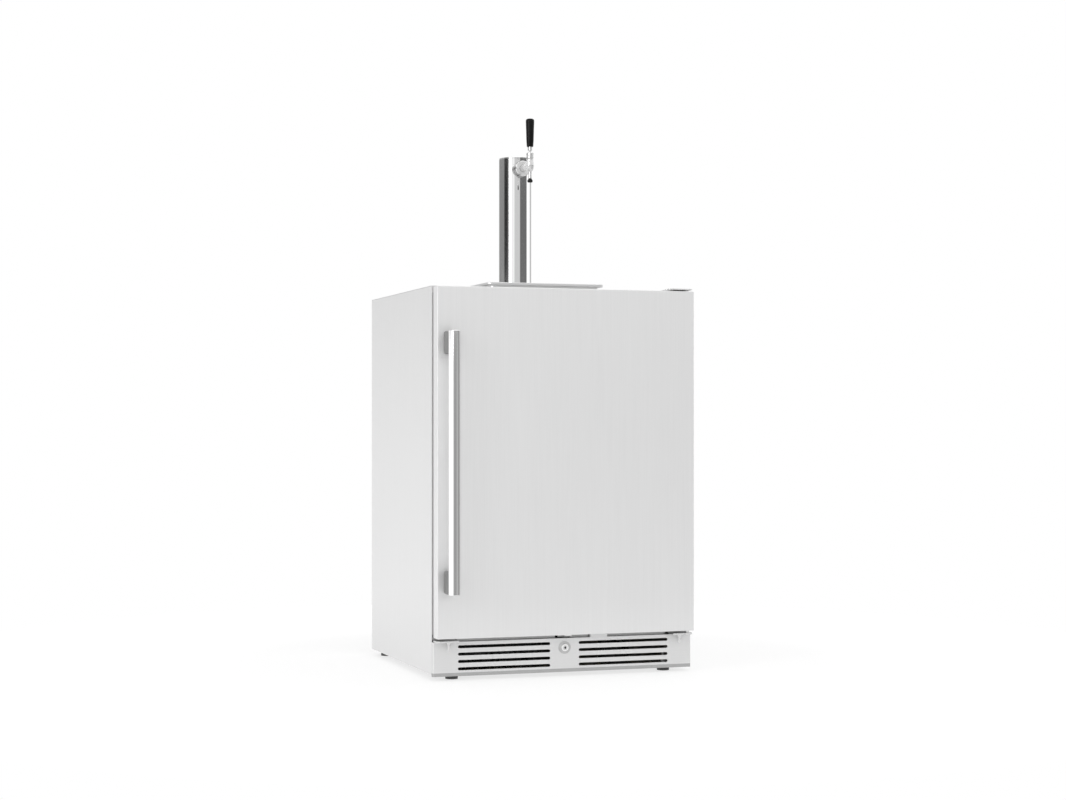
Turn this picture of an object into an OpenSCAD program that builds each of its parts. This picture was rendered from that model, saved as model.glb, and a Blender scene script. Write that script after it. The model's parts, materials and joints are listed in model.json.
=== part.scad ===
// Undercounter draught-beer cabinet with one tower and one tap, in millimetres.
// +Z is up and the door faces -Y. The modules work with Y = 0 on the cabinet's front
// plane, and in_row() then puts the origin on the floor under the middle of the object.

/* [Cabinet] */
// Width over the side panels
cab_w = 605; // [598:1:615]
// Depth from the cabinet's front plane to its back
cab_d = 540; // [535:1:560]
// Height of the top panel's upper face
cab_top = 860; // [850:1:880]
// Thickness of the outer sheet steel
sheet_t = 1.5; // [1:0.1:2]
// Height of the side panels' lower edge
side_z0 = 13; // [12:0.5:13.5]
// Width of the side panels' front flange
side_flange = 15; // [12:1:18]
// Thickness of the foam in the side walls
wall_foam = 38; // [34:1:42]
// Thickness of the inner liner
liner_t = 2; // [1.5:0.5:3]

/* [Door] */
// Width of the door
door_w = 599; // [590:1:599]
// Thickness of the door
door_t = 34; // [30:1:40]
// Gap between the door's back face and the cabinet's front plane
door_gap = 4; // [3:0.5:6]
// Height of the door's lower edge
door_z0 = 93.5; // [93.5:0.5:100]
// Clearance between the door's upper edge and the cabinet's top
door_head = 3; // [3:0.5:6]
// Thickness of the door's outer sheet
door_sheet = 1.2; // [0.8:0.1:1.5]
// Distance of the hinge axis from the door's edge
hinge_in = 10; // [9:0.5:12]

/* [Handle] */
// Diameter of the handle tube
bar_d = 26; // [22:1:30]
// Length of the handle tube
bar_l = 568; // [400:1:640]
// Distance of the tube's axis in front of the door
bar_out = 46; // [40:1:60]
// Distance of the tube's axis from the door's edge
bar_in = 25; // [20:1:40]
// Height of each handle post
post_h = 50; // [30:1:60]

/* [Kick plate] */
// Height of the kick plate's lower edge
kick_z0 = 9; // [8:0.5:10]
// Height of the kick plate's upper edge
kick_z1 = 84; // [82:0.5:84]
// Distance of the kick plate's face in front of the cabinet
kick_out = 12; // [10:0.5:14]
// Height of one air slot
slot_h = 6.5; // [5:0.5:8]
// Distance between air slots
slot_pitch = 16; // [14:0.5:16]
// Height of the lock's axis
lock_z = 63.5; // [63:0.5:64]

/* [Tower and tap] */
// Diameter of the tower
tower_d = 76.2; // [70:0.1:80]
// Distance of the tower's axis behind the front plane
tower_y = 343; // [340:1:360]
// Height of the tower's top
tower_top = 1191; // [1180:1:1250]
// Height of the tap's shank
tap_z = 1161; // [1150:1:1165]
// Distance of the tap's barrel in front of the tower's axis
tap_reach = 112; // [105:1:120]
// Length of the black tap handle
knob_l = 65.5; // [50:0.5:120]

/* [Drip tray] */
// Width over the tray's lip
tray_w = 280; // [240:1:320]
// Distance of the tray's front edge behind the front plane
tray_y0 = 111; // [90:1:130]
// Height of the tray above the cabinet
tray_h = 19; // [17:0.5:24]

/* [Gas and feet] */
// Diameter of the gas cylinder
gas_d = 111; // [100:1:112]
// Height of the gas cylinder's body
gas_h = 300; // [250:1:310]
// Diameter of a foot's pad
foot_d = 28; // [24:1:34]

/* [Hidden] */

$fn = 48;
eps = 1;             // how far a cutting tool runs past the face it cuts
run_fit = 0.06;      // radial clearance of a pin or shaft that turns in a bore
body_gap = 0.3;      // gap between solids that move apart

// Colours
steel = [0.86, 0.86, 0.87];
bright = [0.93, 0.93, 0.95];
dark_steel = [0.45, 0.46, 0.48];
white_plastic = [0.93, 0.94, 0.95];
grey_plastic = [0.62, 0.63, 0.65];
black_plastic = [0.06, 0.06, 0.07];
foam_colour = [0.93, 0.88, 0.68];
copper = [0.75, 0.42, 0.28];
clear_hose = [0.85, 0.87, 0.86];

// Cabinet: X half-widths, and heights
out_x = cab_w / 2;
in_x = out_x - sheet_t;
roof_z = cab_top - sheet_t;
frame_x = out_x - side_flange;
head_flange = 15;
frame_z1 = cab_top - head_flange;
foam_z0 = 100;
back_y = cab_d - sheet_t;
lin_x = in_x - wall_foam;
lin_in_x = lin_x - liner_t;

// Liner and machine bay, seen from the side
floor_z = 142;
ceiling_z = cab_top - 44;
rear_y = cab_d - 42;
hump_y = cab_d - 162;
hump_z = 382;
bay_y = hump_y + 32;
bay_z = hump_z - 30;
pan_z0 = 14;
pan_z1 = 16;

foam_profile = [[sheet_t, foam_z0], [bay_y, foam_z0], [bay_y, bay_z], [back_y, bay_z],
                [back_y, roof_z], [sheet_t, roof_z]];
liner_profile = [[sheet_t, floor_z - liner_t], [hump_y + liner_t, floor_z - liner_t],
                 [hump_y + liner_t, hump_z - liner_t], [rear_y + liner_t, hump_z - liner_t],
                 [rear_y + liner_t, ceiling_z + liner_t], [sheet_t, ceiling_z + liner_t]];
cavity_profile = [[0, floor_z], [hump_y, floor_z], [hump_y, hump_z], [rear_y, hump_z],
                  [rear_y, ceiling_z], [0, ceiling_z]];

// Row position: the handle's front and the cabinet's back bound the object along Y
door_x = door_w / 2;
door_back = -door_gap;
door_front = -door_gap - door_t;
door_z1 = cab_top - door_head;
bar_y = door_front - bar_out;
row_y = -(cab_d + bar_y - bar_d / 2) / 2;

// Hinge
hinge_x = door_x - hinge_in;
hinge_y = -23;
pin_r = 4;
bush_r = 7;
bush_l = 22;
plate_z0 = 84.5;
plate_z1 = 88.5;
plate_x0 = 250;
plate_x1 = 300;
plate_y0 = -36;
plate_y1 = 38;
top_plate_t = 3;
screw_r = 2.5;
hinge_screws = [[262, 12], [286, 12], [262, 30], [286, 30]];

// Handle
bar_x = -door_x + bar_in;
bar_z0 = (door_z0 + door_z1 - bar_l) / 2;
post_w = 22;

// Kick plate and lock
slot_x0 = 33.5;
slot_x1 = 246;
slot_z1 = kick_z1 - 10.8;
slot_rows = 4;
barrel_r = 9;
plug_r = 5;
cam_y = 8;
cam_t = 2;
cam_l = 26;
rest_z1 = 90.5; // top of the pad that backs up a sagging door

// Tower and tap
tower_r = tower_d / 2;
tower_wall = 1.5;
flange_r = 53;
flange_t = 8;
duct_r = 25;
tower_screw_r = 45.6;
tap_y = tower_y - tap_reach;
shank_r = 11;
shank_y0 = tower_y - 53;
nut_y0 = shank_y0 - 9;
nut_y1 = shank_y0 + 7;
barrel_top = tap_z + 17;
bonnet_top = barrel_top + 13;
pivot_z = barrel_top + 7;
neck_z0 = tap_z - 30;
tip_z0 = neck_z0 - 9;
ferrule_top = pivot_z + 19.7;

// Drip tray
tray_top = cab_top + tray_h;
tray_y1 = tower_y - tower_r - 5.9;
lip_over = 10.5;
lip_t = 6;
tray_wall = 3.5;
ledge_z = tray_top - 4;

// Gas cylinder and regulator
gas_x = 180;
gas_y = rear_y - 60;
gas_top = hump_z + gas_h;
valve_z = gas_top + 33;
reg_x = 122;
reg_z = valve_z;
reg_y0 = gas_y - 30;

// Keg coupler, parked on the left wall
coup_x = -228;
coup_y = 200;
coup_z = 640;
lever_y = coup_y - 26;
lever_z = coup_z + 65;

// Fans
evap_x = -45;
evap_z = 650;
evap_y = 474;
cond_x = 135;
cond_y = 28;
cond_z = 52;

// Feet
foot_x = 250;
rear_foot_x = 275;
front_foot_y = 25;
rear_foot_y = 500;
stem_r = 4;
foot_places = [[-foot_x, front_foot_y], [foot_x, front_foot_y],
               [-rear_foot_x, rear_foot_y], [rear_foot_x, rear_foot_y]];

// Rear cover: screws on its edges, and three columns of louvres
cover_screws = [for (x = [-290, 290], z = [30, 185, 340]) [x, z]];
louvre_x = [-190, 10, 130];
louvre_rows = 8;
louvre_pitch = 26;

// Routes of the hoses and pipes, cabinet coordinates, points on their centre lines
beer_route = [[0, 346, 1138], [0, 346, 1090], [0, 346, 985], [0, 344, 880], [-8, 340, 826],
              [-50, 318, 792], [-110, 282, 784], [-170, 244, 793], [-212, 213, 797],
              [-228, 200, 780], [-228, 200, 771], [-228, 200, 762]];
gas_route = [[122, 438, 682], [122, 438, 674], [122, 438, 666], [106, 427, 652],
             [20, 404, 660], [-110, 386, 678], [-196, 318, 692], [-228, 262, 700],
             [-228, 245, 700], [-228, 229, 700]];
suction_route = [[-100, 482, 499], [-100, 482, 470], [-100, 482, 240], [-84, 480, 190],
                 [-20, 477, 160], [36, 475, 134], [65, 474, 122]];
discharge_route = [[64, 474, 80], [30, 470, 76], [0, 440, 76], [-10, 380, 76],
                   [-10, 200, 76], [-14, 90, 76], [-22, 52, 74], [-44, 40, 72]];
liquid_route = [[-236, 40, 30], [-252, 60, 34], [-262, 130, 40], [-262, 380, 40],
                [-240, 450, 60], [-170, 478, 110], [-134, 482, 180], [-130, 482, 340],
                [-130, 482, 470], [-130, 482, 499]];
line_hole_r = 9;

// ---------------------------------------------------------------- helpers

module in_row() {
    translate([0, row_y, 0]) children();
}

// Box from its low corner to its high corner
module box(lo, hi) {
    translate(lo) cube(hi - lo);
}

// Box that is symmetric about X = 0
module wide_box(half_x, y0, y1, z0, z1) {
    box([-half_x, y0, z0], [half_x, y1, z1]);
}

// Extrudes a Y-Z outline along X, symmetric about X = 0
module across(half_x) {
    rotate([90, 0, 90]) linear_extrude(2 * half_x, center = true) children();
}

// Cylinder along +Y from y0 to y1
module rod_y(r, x, z, y0, y1, r_end = undef) {
    translate([x, y0, z]) rotate([-90, 0, 0])
        cylinder(h = y1 - y0, r1 = r, r2 = is_undef(r_end) ? r : r_end);
}

// Cylinder along +X from x0 to x1
module rod_x(r, y, z, x0, x1) {
    translate([x0, y, z]) rotate([0, 90, 0]) cylinder(h = x1 - x0, r = r);
}

// Cylinder along +Z from z0 to z1
module rod_z(r, x, y, z0, z1, r_end = undef) {
    translate([x, y, z0]) cylinder(h = z1 - z0, r1 = r, r2 = is_undef(r_end) ? r : r_end);
}

// Rectangle with round corners, centred
module round_rect(w, d, r) {
    square([w - 2 * r, d], center = true);
    square([w, d - 2 * r], center = true);
    for (sx = [-1, 1], sy = [-1, 1])
        translate([sx * (w / 2 - r), sy * (d / 2 - r)]) circle(r);
}

// Slot with round ends from x0 to x1
module slot_2d(x0, x1, h) {
    translate([x0 + h / 2, -h / 2]) square([x1 - x0 - h, h]);
    for (x = [x0 + h / 2, x1 - h / 2])
        translate([x, 0]) circle(h / 2);
}

// Draws its children on both sides of the cabinet
module both_sides() {
    children();
    mirror([1, 0, 0]) children();
}

// Point at t between p1 and p2 of a smooth curve through p0 to p3
function curve_at(p0, p1, p2, p3, t) =
    0.5 * (2 * p1 + (p2 - p0) * t + (2 * p0 - 5 * p1 + 4 * p2 - p3) * t * t
           + (3 * p1 - p0 - 3 * p2 + p3) * t * t * t);

// Smooth curve through the points, with `steps` rings to each stretch
function smooth_line(p, steps) =
    [for (i = [0 : len(p) - 2], k = [0 : steps - 1])
        curve_at(p[max(i - 1, 0)], p[i], p[i + 1], p[min(i + 2, len(p) - 1)], k / steps),
     p[len(p) - 1]];

function unit(v) = v / norm(v);
function heading(c, i) = unit(c[min(i + 1, len(c) - 1)] - c[max(i - 1, 0)]);

// Tube swept along a route. `side` is a direction that the route never runs along.
module hose(route, r, side, steps = 2, sides = 8) {
    c = smooth_line(route, steps);
    n = len(c);
    rings = [for (i = [0 : n - 1], k = [0 : sides - 1])
        let (t = heading(c, i), u = unit(cross(t, side)), v = cross(t, u), a = 360 * k / sides)
            c[i] + r * (cos(a) * u + sin(a) * v)];
    walls = [for (i = [0 : n - 2], k = [0 : sides - 1])
        let (j = (k + 1) % sides, a = i * sides, b = a + sides)
            [a + k, a + j, b + j, b + k]];
    near = [[for (k = [sides - 1 : -1 : 0]) k]];
    far = [[for (k = [0 : sides - 1]) (n - 1) * sides + k]];
    polyhedron(rings, concat(walls, near, far), convexity = 4);
}

// Finned heat exchanger: a row of fins on straight tubes
module fin_block(x0, x1, y0, y1, z0, z1, fins) {
    fin_t = 1;
    for (i = [0 : fins - 1])
        box([x0 + (x1 - x0 - fin_t) * i / (fins - 1), y0, z0],
            [x0 + (x1 - x0 - fin_t) * i / (fins - 1) + fin_t, y1, z1]);
    for (y = [y0 + (y1 - y0) / 3, y0 + (y1 - y0) * 2 / 3], z = [z0 + 14 : 19 : z1 - 9])
        rod_x(3.5, y, z, x0, x1);
}

// Axial fan wheel that turns about Y: a hub with pitched blades
module fan_wheel(x, y0, z, r, hub_r, depth, blades) {
    difference() {
        union() {
            rod_y(hub_r, x, z, y0, y0 + depth);
            intersection() {
                rod_y(r, x, z, y0, y0 + depth);
                for (i = [0 : blades - 1])
                    translate([x, y0 + depth / 2, z]) rotate([0, 360 * i / blades, 0])
                        rotate([0, 0, 32]) translate([-r * 0.36, -0.8, hub_r * 0.7])
                            cube([r * 0.72, 1.6, r]);
            }
        }
        rod_y(1.5 + run_fit, x, z, y0 - eps, y0 + depth + eps);
    }
}

// ---------------------------------------------------------------- casing

module side_sheet() {
    box([-out_x, 0, side_z0], [-in_x, cab_d, roof_z]);
    box([-in_x, 0, foam_z0], [-frame_x, sheet_t, frame_z1]);
}

module left_side_panel() {
    color(steel) in_row() side_sheet();
}

module right_side_panel() {
    color(steel) in_row() mirror([1, 0, 0]) side_sheet();
}

module top_panel() {
    color(steel) in_row() difference() {
        union() {
            wide_box(out_x, 0, cab_d, roof_z, cab_top);
            wide_box(in_x, 0, sheet_t, frame_z1, roof_z);
        }
        rod_z(duct_r, 0, tower_y, roof_z - eps, cab_top + eps);
        for (a = [45 : 90 : 315])
            rod_z(2.25, tower_screw_r * cos(a), tower_y + tower_screw_r * sin(a),
                  roof_z - eps, cab_top + eps);
        for (p = hinge_screws)
            rod_z(screw_r + 0.1, p[0], p[1], roof_z - eps, cab_top + eps);
    }
}

module back_panel() {
    color(dark_steel) in_row() wide_box(in_x, back_y, cab_d, bay_z, roof_z);
}

module rear_cover() {
    color(dark_steel) in_row() difference() {
        wide_box(in_x, back_y, cab_d, pan_z1, bay_z);
        for (x = louvre_x, i = [0 : louvre_rows - 1])
            translate([x, back_y - eps, 120 + louvre_pitch * i]) rotate([-90, 0, 0])
                linear_extrude(sheet_t + 2 * eps) slot_2d(0, 90, 7);
        box([-256, back_y - eps, 54], [-214, cab_d + eps, 86]);
        for (p = cover_screws)
            rod_y(3.1, p[0], p[1], back_y - eps, cab_d + eps);
    }
}

module base_pan() {
    color(dark_steel) in_row() difference() {
        union() {
            wide_box(in_x, sheet_t, back_y, pan_z0, pan_z1);
            both_sides() box([-in_x, sheet_t, pan_z1], [-in_x + sheet_t, back_y, 40]);
            for (p = foot_places)
                rod_z(8, p[0], p[1], pan_z1, 24);
        }
        for (p = foot_places)
            rod_z(stem_r + run_fit, p[0], p[1], pan_z0 - eps, 24 + eps);
    }
}

module hinge_rail() {
    color(dark_steel) in_row() difference() {
        union() {
            wide_box(in_x, sheet_t, 40, plate_z1, foam_z0);
            wide_box(plate_x0 - 5, sheet_t, 2 * sheet_t, kick_z1 + 0.3, plate_z1 + eps);
        }
        wide_box(in_x + eps, 2 * sheet_t, 40 - sheet_t, plate_z1 + sheet_t, foam_z0 - sheet_t);
        wide_box(18, 0, 22, kick_z1, foam_z0 - sheet_t);
        both_sides() for (p = hinge_screws)
            rod_z(screw_r + 0.1, p[0], p[1], plate_z1 - eps, plate_z1 + sheet_t + eps);
    }
}

module insulation_foam() {
    color(foam_colour) in_row() difference() {
        across(in_x) polygon(foam_profile);
        across(lin_x) polygon(liner_profile);
        rod_z(duct_r, 0, tower_y, ceiling_z, roof_z + eps);
        for (x = [-130, -100])
            rod_z(line_hole_r, x, 482, bay_z - eps, hump_z);
    }
}

module inner_liner() {
    color(white_plastic) in_row() difference() {
        union() {
            difference() {
                across(lin_x) polygon(liner_profile);
                across(lin_in_x) polygon(cavity_profile);
            }
            both_sides() for (z = [260, 440, 600])
                box([-lin_in_x, 60, z], [-lin_in_x + 6, hump_y - 30, z + 8]);
        }
        rod_z(duct_r, 0, tower_y, ceiling_z - eps, ceiling_z + liner_t + eps);
        for (x = [-130, -100])
            rod_z(line_hole_r, x, 482, hump_z - liner_t - eps, hump_z + eps);
    }
}

module front_frame() {
    color(grey_plastic) in_row() difference() {
        wide_box(frame_x, 0, sheet_t, foam_z0, frame_z1);
        wide_box(lin_in_x, -eps, sheet_t + eps, floor_z, ceiling_z);
    }
}

module kick_plate() {
    face_back = sheet_t - kick_out;
    color(steel) in_row() difference() {
        union() {
            wide_box(out_x, -kick_out, 0, kick_z0, kick_z1);
            box([61, 0.5 - kick_out, kick_z1 - eps], [101, -1, rest_z1]);
        }
        wide_box(in_x, face_back, eps, kick_z0 + sheet_t, kick_z1 - sheet_t);
        both_sides() for (i = [0 : slot_rows - 1])
            translate([0, eps - kick_out + sheet_t, slot_z1 - i * slot_pitch])
                rotate([90, 0, 0]) linear_extrude(sheet_t + 2 * eps)
                    slot_2d(slot_x0, slot_x1, slot_h);
        rod_y(barrel_r + 0.1, 0, lock_z, -kick_out - eps, face_back + eps);
    }
}

module lock_barrel() {
    color(bright) in_row() difference() {
        union() {
            rod_y(14, 0, lock_z, -kick_out - 1.2, -kick_out);
            rod_y(8.3, 0, lock_z, -kick_out - 5, -kick_out - 1.2, 8.8);
            rod_y(barrel_r, 0, lock_z, -kick_out, cam_y - body_gap);
            rod_y(13, 0, lock_z, sheet_t - kick_out, sheet_t - kick_out + 4);
        }
        rod_y(plug_r + run_fit, 0, lock_z, -kick_out - 6, cam_y);
    }
}

module hinge_plate_2d() {
    corner = 12;
    translate([plate_x0, plate_y0 + corner])
        square([plate_x1 - plate_x0, plate_y1 - plate_y0 - corner]);
    translate([plate_x0, plate_y0])
        square([plate_x1 - plate_x0 - corner, corner]);
    translate([plate_x1 - corner, plate_y0 + corner]) circle(corner);
}

module top_hinge_bracket() {
    color(steel) in_row() {
        difference() {
            translate([0, 0, cab_top]) linear_extrude(top_plate_t) hinge_plate_2d();
            for (p = hinge_screws)
                rod_z(screw_r + 0.1, p[0], p[1], cab_top - eps, cab_top + top_plate_t + eps);
        }
        rod_z(pin_r, hinge_x, hinge_y, door_z1 - 19, cab_top);
    }
}

module bottom_hinge_brackets() {
    color(steel) in_row() {
        both_sides() {
            difference() {
                translate([0, 0, plate_z0])
                    linear_extrude(plate_z1 - plate_z0) hinge_plate_2d();
                for (p = hinge_screws)
                    rod_z(screw_r + 0.1, p[0], p[1], plate_z0 - eps, plate_z1 + eps);
            }
            rod_z(3, 270, hinge_y, 66, plate_z0);
            rod_z(4.5, 270, hinge_y, 79, plate_z0);
        }
        rod_z(pin_r, hinge_x, hinge_y, plate_z1, door_z0 + 15);
    }
}

// Pan-head screw that points down (dir = -1) or up (dir = 1) from its head's seat
module pan_screw(x, y, seat_z, tip_z, dir, r, head_r, head_t) {
    rod_z(r, x, y, min(seat_z, tip_z), max(seat_z, tip_z));
    translate([x, y, seat_z - dir * head_t / 2]) difference() {
        cylinder(h = head_t, r = head_r, center = true);
        for (a = [0, 90])
            translate([0, 0, -dir * head_t / 2]) rotate([0, 0, a])
                cube([head_r * 1.1, 0.9, head_t], center = true);
    }
}

module screws() {
    color(bright) in_row() {
        for (a = [45 : 90 : 315])
            pan_screw(tower_screw_r * cos(a), tower_y + tower_screw_r * sin(a),
                      cab_top + flange_t, roof_z, -1, 2.15, 4.2, 2.4);
        for (p = hinge_screws)
            pan_screw(p[0], p[1], cab_top + top_plate_t, roof_z, -1, screw_r, 4.8, 2.6);
        both_sides() for (p = hinge_screws)
            pan_screw(p[0], p[1], plate_z0, plate_z1 + sheet_t, 1, screw_r, 4.8, 2.2);
        for (p = cover_screws) {
            rod_y(3, p[0], p[1], back_y, cab_d);
            rod_y(1.8, p[0], p[1], back_y - 10, back_y);
        }
    }
}

// ---------------------------------------------------------------- tower and tap

module tower_flange() {
    color(bright) in_row() difference() {
        union() {
            rod_z(flange_r, 0, tower_y, cab_top, cab_top + flange_t - 2);
            rod_z(flange_r, 0, tower_y, cab_top + flange_t - 2, cab_top + flange_t,
                  flange_r - 2);
            rod_z(tower_r - tower_wall - 0.1, 0, tower_y, cab_top + flange_t,
                  cab_top + flange_t + 12);
        }
        rod_z(duct_r, 0, tower_y, cab_top - eps, cab_top + flange_t + 13);
        for (a = [45 : 90 : 315])
            rod_z(2.25, tower_screw_r * cos(a), tower_y + tower_screw_r * sin(a),
                  cab_top - eps, cab_top + flange_t + eps);
    }
}

module tower_column() {
    color(bright) in_row() difference() {
        rod_z(tower_r, 0, tower_y, cab_top + flange_t, tower_top - 3);
        rod_z(tower_r - tower_wall, 0, tower_y, cab_top, tower_top);
        rod_y(shank_r + 0.2, 0, tap_z, tower_y - tower_r - eps, tower_y);
    }
}

module tower_cap() {
    color(bright) in_row() {
        rod_z(tower_r, 0, tower_y, tower_top - 3, tower_top - 1);
        rod_z(tower_r, 0, tower_y, tower_top - 1, tower_top, tower_r - 1);
        difference() {
            rod_z(tower_r - tower_wall - 0.1, 0, tower_y, tower_top - 11, tower_top - 3);
            rod_z(tower_r - tower_wall - 2.1, 0, tower_y, tower_top - 12, tower_top - 3);
        }
    }
}

module shank() {
    color(bright) in_row() difference() {
        union() {
            rod_y(shank_r, 0, tap_z, shank_y0, tower_y + 9);
            rod_y(16, 0, tap_z, tower_y - 31, tower_y - 25);
            rod_z(6.5, 0, tower_y + 3, tap_z - 23, tap_z);
        }
        rod_y(4, 0, tap_z, shank_y0 - eps, tower_y + 3);
        rod_z(4, 0, tower_y + 3, tap_z - 24, tap_z);
    }
}

module shank_flange() {
    color(bright) in_row() difference() {
        rod_y(18.5, 0, tap_z, nut_y1, tower_y - tower_r + 6);
        rod_z(tower_r + 0.05, 0, tower_y, tap_z - 30, tap_z + 30);
        rod_y(shank_r + 0.1, 0, tap_z, nut_y1 - eps, tower_y);
    }
}

module coupling_nut() {
    color(bright) in_row() difference() {
        union() {
            rod_y(17, 0, tap_z, nut_y0, nut_y0 + 1.2, 18.2);
            rod_y(18.2, 0, tap_z, nut_y0 + 1.2, nut_y1);
        }
        rod_y(shank_r + 0.2, 0, tap_z, nut_y0 + 3, nut_y1 + eps);
        rod_y(8.7, 0, tap_z, nut_y0 - eps, nut_y0 + 4);
        for (a = [0 : 60 : 300])
            rod_y(2.2, 18.6 * cos(a), tap_z + 18.6 * sin(a), nut_y0 - eps, nut_y1 + eps);
    }
}

module faucet_body() {
    color(bright) in_row() difference() {
        union() {
            rod_y(7, 0, tap_z, tap_y, tap_y + 24, 8.5);
            rod_y(8.5, 0, tap_z, tap_y + 24, nut_y0 + 3);
            rod_y(10.5, 0, tap_z, nut_y0 + 3, shank_y0);
            rod_z(7.6, 0, tap_y, tap_z - 11, barrel_top);
            translate([0, tap_y - 1, tap_z + 3]) sphere(9.6);
            rod_z(3.75, 0, tap_y, tap_z - 13, tap_z - 11, 7.6);
            rod_z(3.75, 0, tap_y, neck_z0, tap_z - 13);
        }
        rod_y(4, 0, tap_z, tap_y, shank_y0 + eps);
        rod_z(2.5, 0, tap_y, neck_z0 - eps, tap_z);
        rod_z(6, 0, tap_y, barrel_top - 5, barrel_top + eps);
    }
}

module spout_tip() {
    color(black_plastic) in_row() difference() {
        union() {
            rod_z(5.6, 0, tap_y, tip_z0, tip_z0 + 1.2, 6.35);
            rod_z(6.35, 0, tap_y, tip_z0 + 1.2, neck_z0 - 1.2);
            rod_z(6.35, 0, tap_y, neck_z0 - 1.2, neck_z0, 5.2);
        }
        rod_z(2.6, 0, tap_y, tip_z0 - eps, neck_z0 + eps);
    }
}

module faucet_bonnet() {
    color(bright) in_row() difference() {
        union() {
            rod_z(8.2, 0, tap_y, barrel_top, bonnet_top - 1.2);
            rod_z(8.2, 0, tap_y, bonnet_top - 1.2, bonnet_top, 7.4);
        }
        translate([0, tap_y, pivot_z]) sphere(5.4);
        rod_z(4.6, 0, tap_y, pivot_z + 3, bonnet_top + 0.1, 6.4);
        rod_z(6, 0, tap_y, barrel_top - eps, pivot_z - 3.5);
    }
}

module tap_lever() {
    color(bright) in_row() {
        rod_z(2, 0, tap_y, barrel_top, pivot_z);
        translate([0, tap_y, pivot_z]) sphere(5);
        rod_z(2.5, 0, tap_y, pivot_z, pivot_z + 9);
        rod_z(2.5, 0, tap_y, pivot_z + 9, pivot_z + 11, 5.25);
        rod_z(5.25, 0, tap_y, pivot_z + 11, ferrule_top);
        rod_z(4, 0, tap_y, ferrule_top, ferrule_top + 20);
    }
}

module tap_handle() {
    color(black_plastic) in_row() difference() {
        translate([0, tap_y, ferrule_top]) rotate_extrude()
            polygon([[0, 0], [6.9, 0], [7.5, 0.8], [9.9, knob_l - 6], [9.9, knob_l - 3],
                     [9.3, knob_l - 1.4], [8, knob_l - 0.4], [6, knob_l], [0, knob_l]]);
        rod_z(4.1, 0, tap_y, ferrule_top - eps, ferrule_top + 21);
    }
}

module drip_tray() {
    yc = (tray_y0 + tray_y1) / 2;
    depth = tray_y1 - tray_y0;
    body_w = tray_w - 2 * lip_over;
    body_d = depth - 2 * lip_over;
    inset = lip_over + tray_wall;
    color(steel) in_row() difference() {
        union() {
            translate([0, yc, cab_top + body_gap])
                linear_extrude(tray_h - lip_t) round_rect(body_w, body_d, 8);
            translate([0, yc, tray_top - lip_t])
                linear_extrude(lip_t) round_rect(tray_w, depth, 12);
        }
        translate([0, yc, cab_top + 2])
            linear_extrude(tray_h) round_rect(tray_w - 2 * inset, depth - 2 * inset, 6);
        translate([0, yc, ledge_z])
            linear_extrude(tray_h) round_rect(tray_w - 12, depth - 12, 8);
    }
}

module drip_grate() {
    yc = (tray_y0 + tray_y1) / 2;
    depth = tray_y1 - tray_y0;
    rows = 13;
    pitch = (depth - 42) / (rows - 1);
    color(steel) in_row() translate([0, yc, ledge_z + body_gap]) linear_extrude(2.7)
        difference() {
            round_rect(tray_w - 13, depth - 13, 7.5);
            for (i = [0 : rows - 1], side = [-1, 1])
                translate([side * 60, (i - (rows - 1) / 2) * pitch]) slot_2d(-52, 52, 4);
        }
}

// ---------------------------------------------------------------- inside

module beer_line() {
    color(clear_hose) in_row() hose(beer_route, 5.5, unit([146, -228, 0]), 3, 10);
}

module gas_line() {
    color([0.75, 0.12, 0.1]) in_row() hose(gas_route, 5, [0, 0.25, 1], 3, 10);
}

module evaporator_cover() {
    x0 = -170;
    x1 = 80;
    z0 = 430;
    z1 = 780;
    y0 = evap_y - 8;
    color(white_plastic) in_row() difference() {
        box([x0, y0, z0], [x1, rear_y, z1]);
        box([x0 + 2, y0 + 2, z0 + 2], [x1 - 2, rear_y + eps, z1 - 2]);
        translate([evap_x, y0 - eps, evap_z]) rotate([-90, 0, 0]) linear_extrude(2 + 2 * eps)
            intersection() {
                circle(46);
                for (i = [-4 : 4])
                    translate([0, 10 * i]) slot_2d(-50, 50, 5);
            }
        for (z = [442 : 11 : 475])
            translate([0, y0 - eps, z]) rotate([-90, 0, 0]) linear_extrude(2 + 2 * eps)
                slot_2d(x0 + 25, x1 - 25, 4.5);
        box([-142, y0 + 4, z0 - eps], [-88, rear_y + eps, z0 + 3]);
    }
}

module evaporator_coil() {
    color([0.75, 0.77, 0.8]) in_row() fin_block(-155, 65, evap_y, 496, 500, 590, 15);
}

module condenser_coil() {
    color(dark_steel) in_row() fin_block(-235, -45, 20, 60, 19, 84, 15);
}

module fan_motors() {
    cond_back = cond_y + 24;
    color(black_plastic) in_row() {
        difference() {
            box([cond_x - 33, cond_y, cond_z - 33], [cond_x + 33, cond_back, cond_z + 33]);
            rod_y(30, cond_x, cond_z, cond_y - eps, cond_back + eps);
        }
        for (a = [0, 120, 240])
            translate([cond_x, cond_back - 5, cond_z]) rotate([0, a, 0])
                box([8, 0, -2], [31.5, 4, 2]);
        rod_y(12, cond_x, cond_z, cond_back - 7, cond_back - 0.5);
        rod_y(1.5, cond_x, cond_z, cond_y + 2, cond_back - 3);
        rod_y(20, evap_x, evap_z, evap_y + 14, rear_y);
        rod_y(1.5, evap_x, evap_z, evap_y, evap_y + 16);
    }
}

module evaporator_fan_blade() {
    color(grey_plastic) in_row()
        fan_wheel(evap_x, evap_y + 0.5, evap_z, 45, 14, 13, 5);
}

module condenser_fan_blade() {
    color(grey_plastic) in_row()
        fan_wheel(cond_x, cond_y + 3, cond_z, 28.5, 10, 13, 5);
}

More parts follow.
